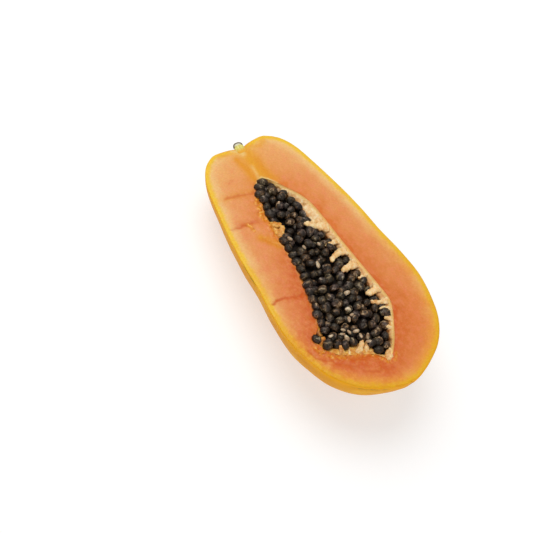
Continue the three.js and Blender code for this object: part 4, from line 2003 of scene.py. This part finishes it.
@dataclass
class StemStub(Piece):
    """Half of the stem's stub, cut with the fruit."""

    name: str = "stem_stub_dressed"
    slot: str = "stem"
    nodes: tuple[str, ...] = ("stem_stub",)
    profile: Points = (
        (6.6, 0), (6.4, 1.6), (5.6, 2.9), (4.2, 3.5), (2.4, 3.5), (0.5, 3.6), (-0.8, 3.8), (-2, 3.5),
        (-2.9, 2.6), (-3.5, 1.4), (-3.6, 0),
    )
    steps: int = 24
    fine_steps: int = 60
    rows: int = 16
    grain: Grain = Grain(0.14, 1.6)
    highest: float = 0.15
    dry_width: Pair = (0.7, 1.5)
    dry_end: Pair = (-0.6, 0.8)
    inner: Pair = (1.0, 5.0)
    end: Pair = (-2.2, -0.2)
    end_strength: float = 0.85

    def build(self, place: Placement) -> bpy.types.Object:
        """Builds and dresses the stub.

        Args:
            place: How the half lies.

        Returns:
            The piece.
        """
        bm = bmesh.new()
        curve = SmoothCurve(self.profile)
        shares = np.linspace(0, 1, self.fine_steps)
        profile = curve.at(shares)
        profile[[0, -1], 1] = 0

        def disc(along: Array, around: Array) -> Array:
            """Maps shares to the stub's cut face.

            Args:
                along: Shares of the outline.
                around: Shares from one side to the other.

            Returns:
                The points.
            """
            x, reach = (np.interp(along, shares, profile[:, k]) for k in (0, 1))
            return np.column_stack([x, reach * (2 * around - 1), np.zeros(len(x))])

        add_grid(bm, self.fine_steps - 1, self.rows, disc)
        add_half_turn(bm, profile, self.steps)
        weld(bm, bm.verts)
        face_outwards(bm)
        points = points_of(bm)
        moved = swell(bm, self.grain.at(points))
        moved[:, 2] = np.minimum(moved[:, 2], self.highest)
        move_points(bm.verts, moved)
        x = points[:, 0]
        rind = 1 - smoothstep(gap_inside(points, curve), *self.dry_width)
        numbers = {
            "fruit": points,
            "dry": rind * (1 - smoothstep(x, *self.dry_end)),
            "inner": smoothstep(x, *self.inner),
            "end": self.end_strength * (1 - smoothstep(x, *self.end)),
        }
        return self.finish(bm, place, [StubFinish().make()], numbers)


# ---- The studio ----


@dataclass
class Studio:
    """Floor, light and camera."""

    floor_size: float = 8.0
    floor_colour: str = "C0C0C0"
    glow_colour: str = "FFFFFF"
    floor_glow: float = 0.52
    floor_roughness: float = 0.9
    world_strength: float = 0.48
    key_power: float = 12.6
    key_size: float = 1.1
    key_place: Triple = (-0.6, 0.0, 1.35)
    fill_power: float = 3.4
    fill_place: Triple = (1.3, -0.35, 0.45)
    lens: float = 75.65
    sensor: float = 36.0
    pixels: float = 533.0
    distance: float = 0.774
    right: Triple = (0.557, 0.805, 0.206)  # the camera's, in the fruit's frame
    up: Triple = (-0.755, 0.387, 0.529)
    aim: Pair = (54.6, 8.3)  # where the face's middle shows, in pixels off the centre
    middle: float = 107.5  # the face's middle, along the fruit

    def floor(self) -> None:
        """Lays a plain pale floor."""
        bm = bmesh.new()
        bmesh.ops.create_grid(bm, x_segments=1, y_segments=1, size=self.floor_size / 2)
        floor = make_object("floor", bm)
        paint = Sketch("floor_paint").finish(
            Base_Color=self.floor_colour,
            Roughness=self.floor_roughness,
            Emission_Color=self.glow_colour,
            Emission_Strength=self.floor_glow,
        )
        floor.data.materials.append(paint)

    def lights(self) -> None:
        """Sets a pale surround, a large soft lamp above and a weak one at the blossom end."""
        scene = bpy.context.scene
        world = bpy.data.worlds.new("studio")
        world.use_nodes = True
        background = world.node_tree.nodes["Background"]
        background.inputs["Color"].default_value = tint(self.glow_colour)
        background.inputs["Strength"].default_value = self.world_strength
        scene.world = world
        self.lamp("key", self.key_power, self.key_place)
        self.lamp("fill", self.fill_power, self.fill_place)

    def lamp(self, name: str, power: float, place: Triple) -> None:
        """Hangs a round soft lamp that points at the half.

        Args:
            name: The lamp's name.
            power: Its power, in watts.
            place: Where it hangs.
        """
        light = bpy.data.lights.new(name, "AREA")
        light.shape = "DISK"
        light.size = self.key_size
        light.energy = power
        lamp = bpy.data.objects.new(name, light)
        lamp.location = place
        lamp.rotation_euler = (-lamp.location).to_track_quat("-Z", "Y").to_euler()
        bpy.context.scene.collection.objects.link(lamp)

    def camera(self, place: Placement) -> None:
        """Sets the camera over the cut face.

        Args:
            place: How the half lies.
        """
        scene = bpy.context.scene
        scene.view_settings.view_transform = "Standard"
        data = bpy.data.cameras.new("camera")
        data.lens = self.lens
        data.sensor_width = self.sensor
        camera = bpy.data.objects.new("camera", data)
        turn = place.matrix().to_3x3().normalized()
        right, up = turn @ Vector(self.right), turn @ Vector(self.up)
        back = right.cross(up).normalized()
        right = up.cross(back).normalized()
        view = Matrix((right, back.cross(right), back)).transposed()
        focal = self.lens / self.sensor * self.pixels
        sight = Vector((*self.aim, -focal)).normalized()
        aimed = view @ sight.rotation_difference(Vector((0, 0, -1))).to_matrix()
        target = place.matrix() @ Vector((self.middle, 0, 0))
        eye = target + back * self.distance
        camera.matrix_world = Matrix.Translation(eye) @ aimed.to_4x4()
        scene.collection.objects.link(camera)
        scene.camera = camera


# ---- The whole half ----


def main() -> None:
    """Builds the studio and every piece."""
    logging.basicConfig(level=logging.INFO, format="%(name)s: %(message)s")
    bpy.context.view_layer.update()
    place = Placement()
    for piece in (FleshHalf(), Placenta(), Fingers(), SeedHeap(), PaleSeeds(), StemStub()):
        made = piece.build(place)
        LOG.info("%s: %d faces", made.name, len(made.data.polygons))
    studio = Studio()
    studio.floor()
    studio.lights()
    studio.camera(place)


if __name__ == "__main__":
    main()
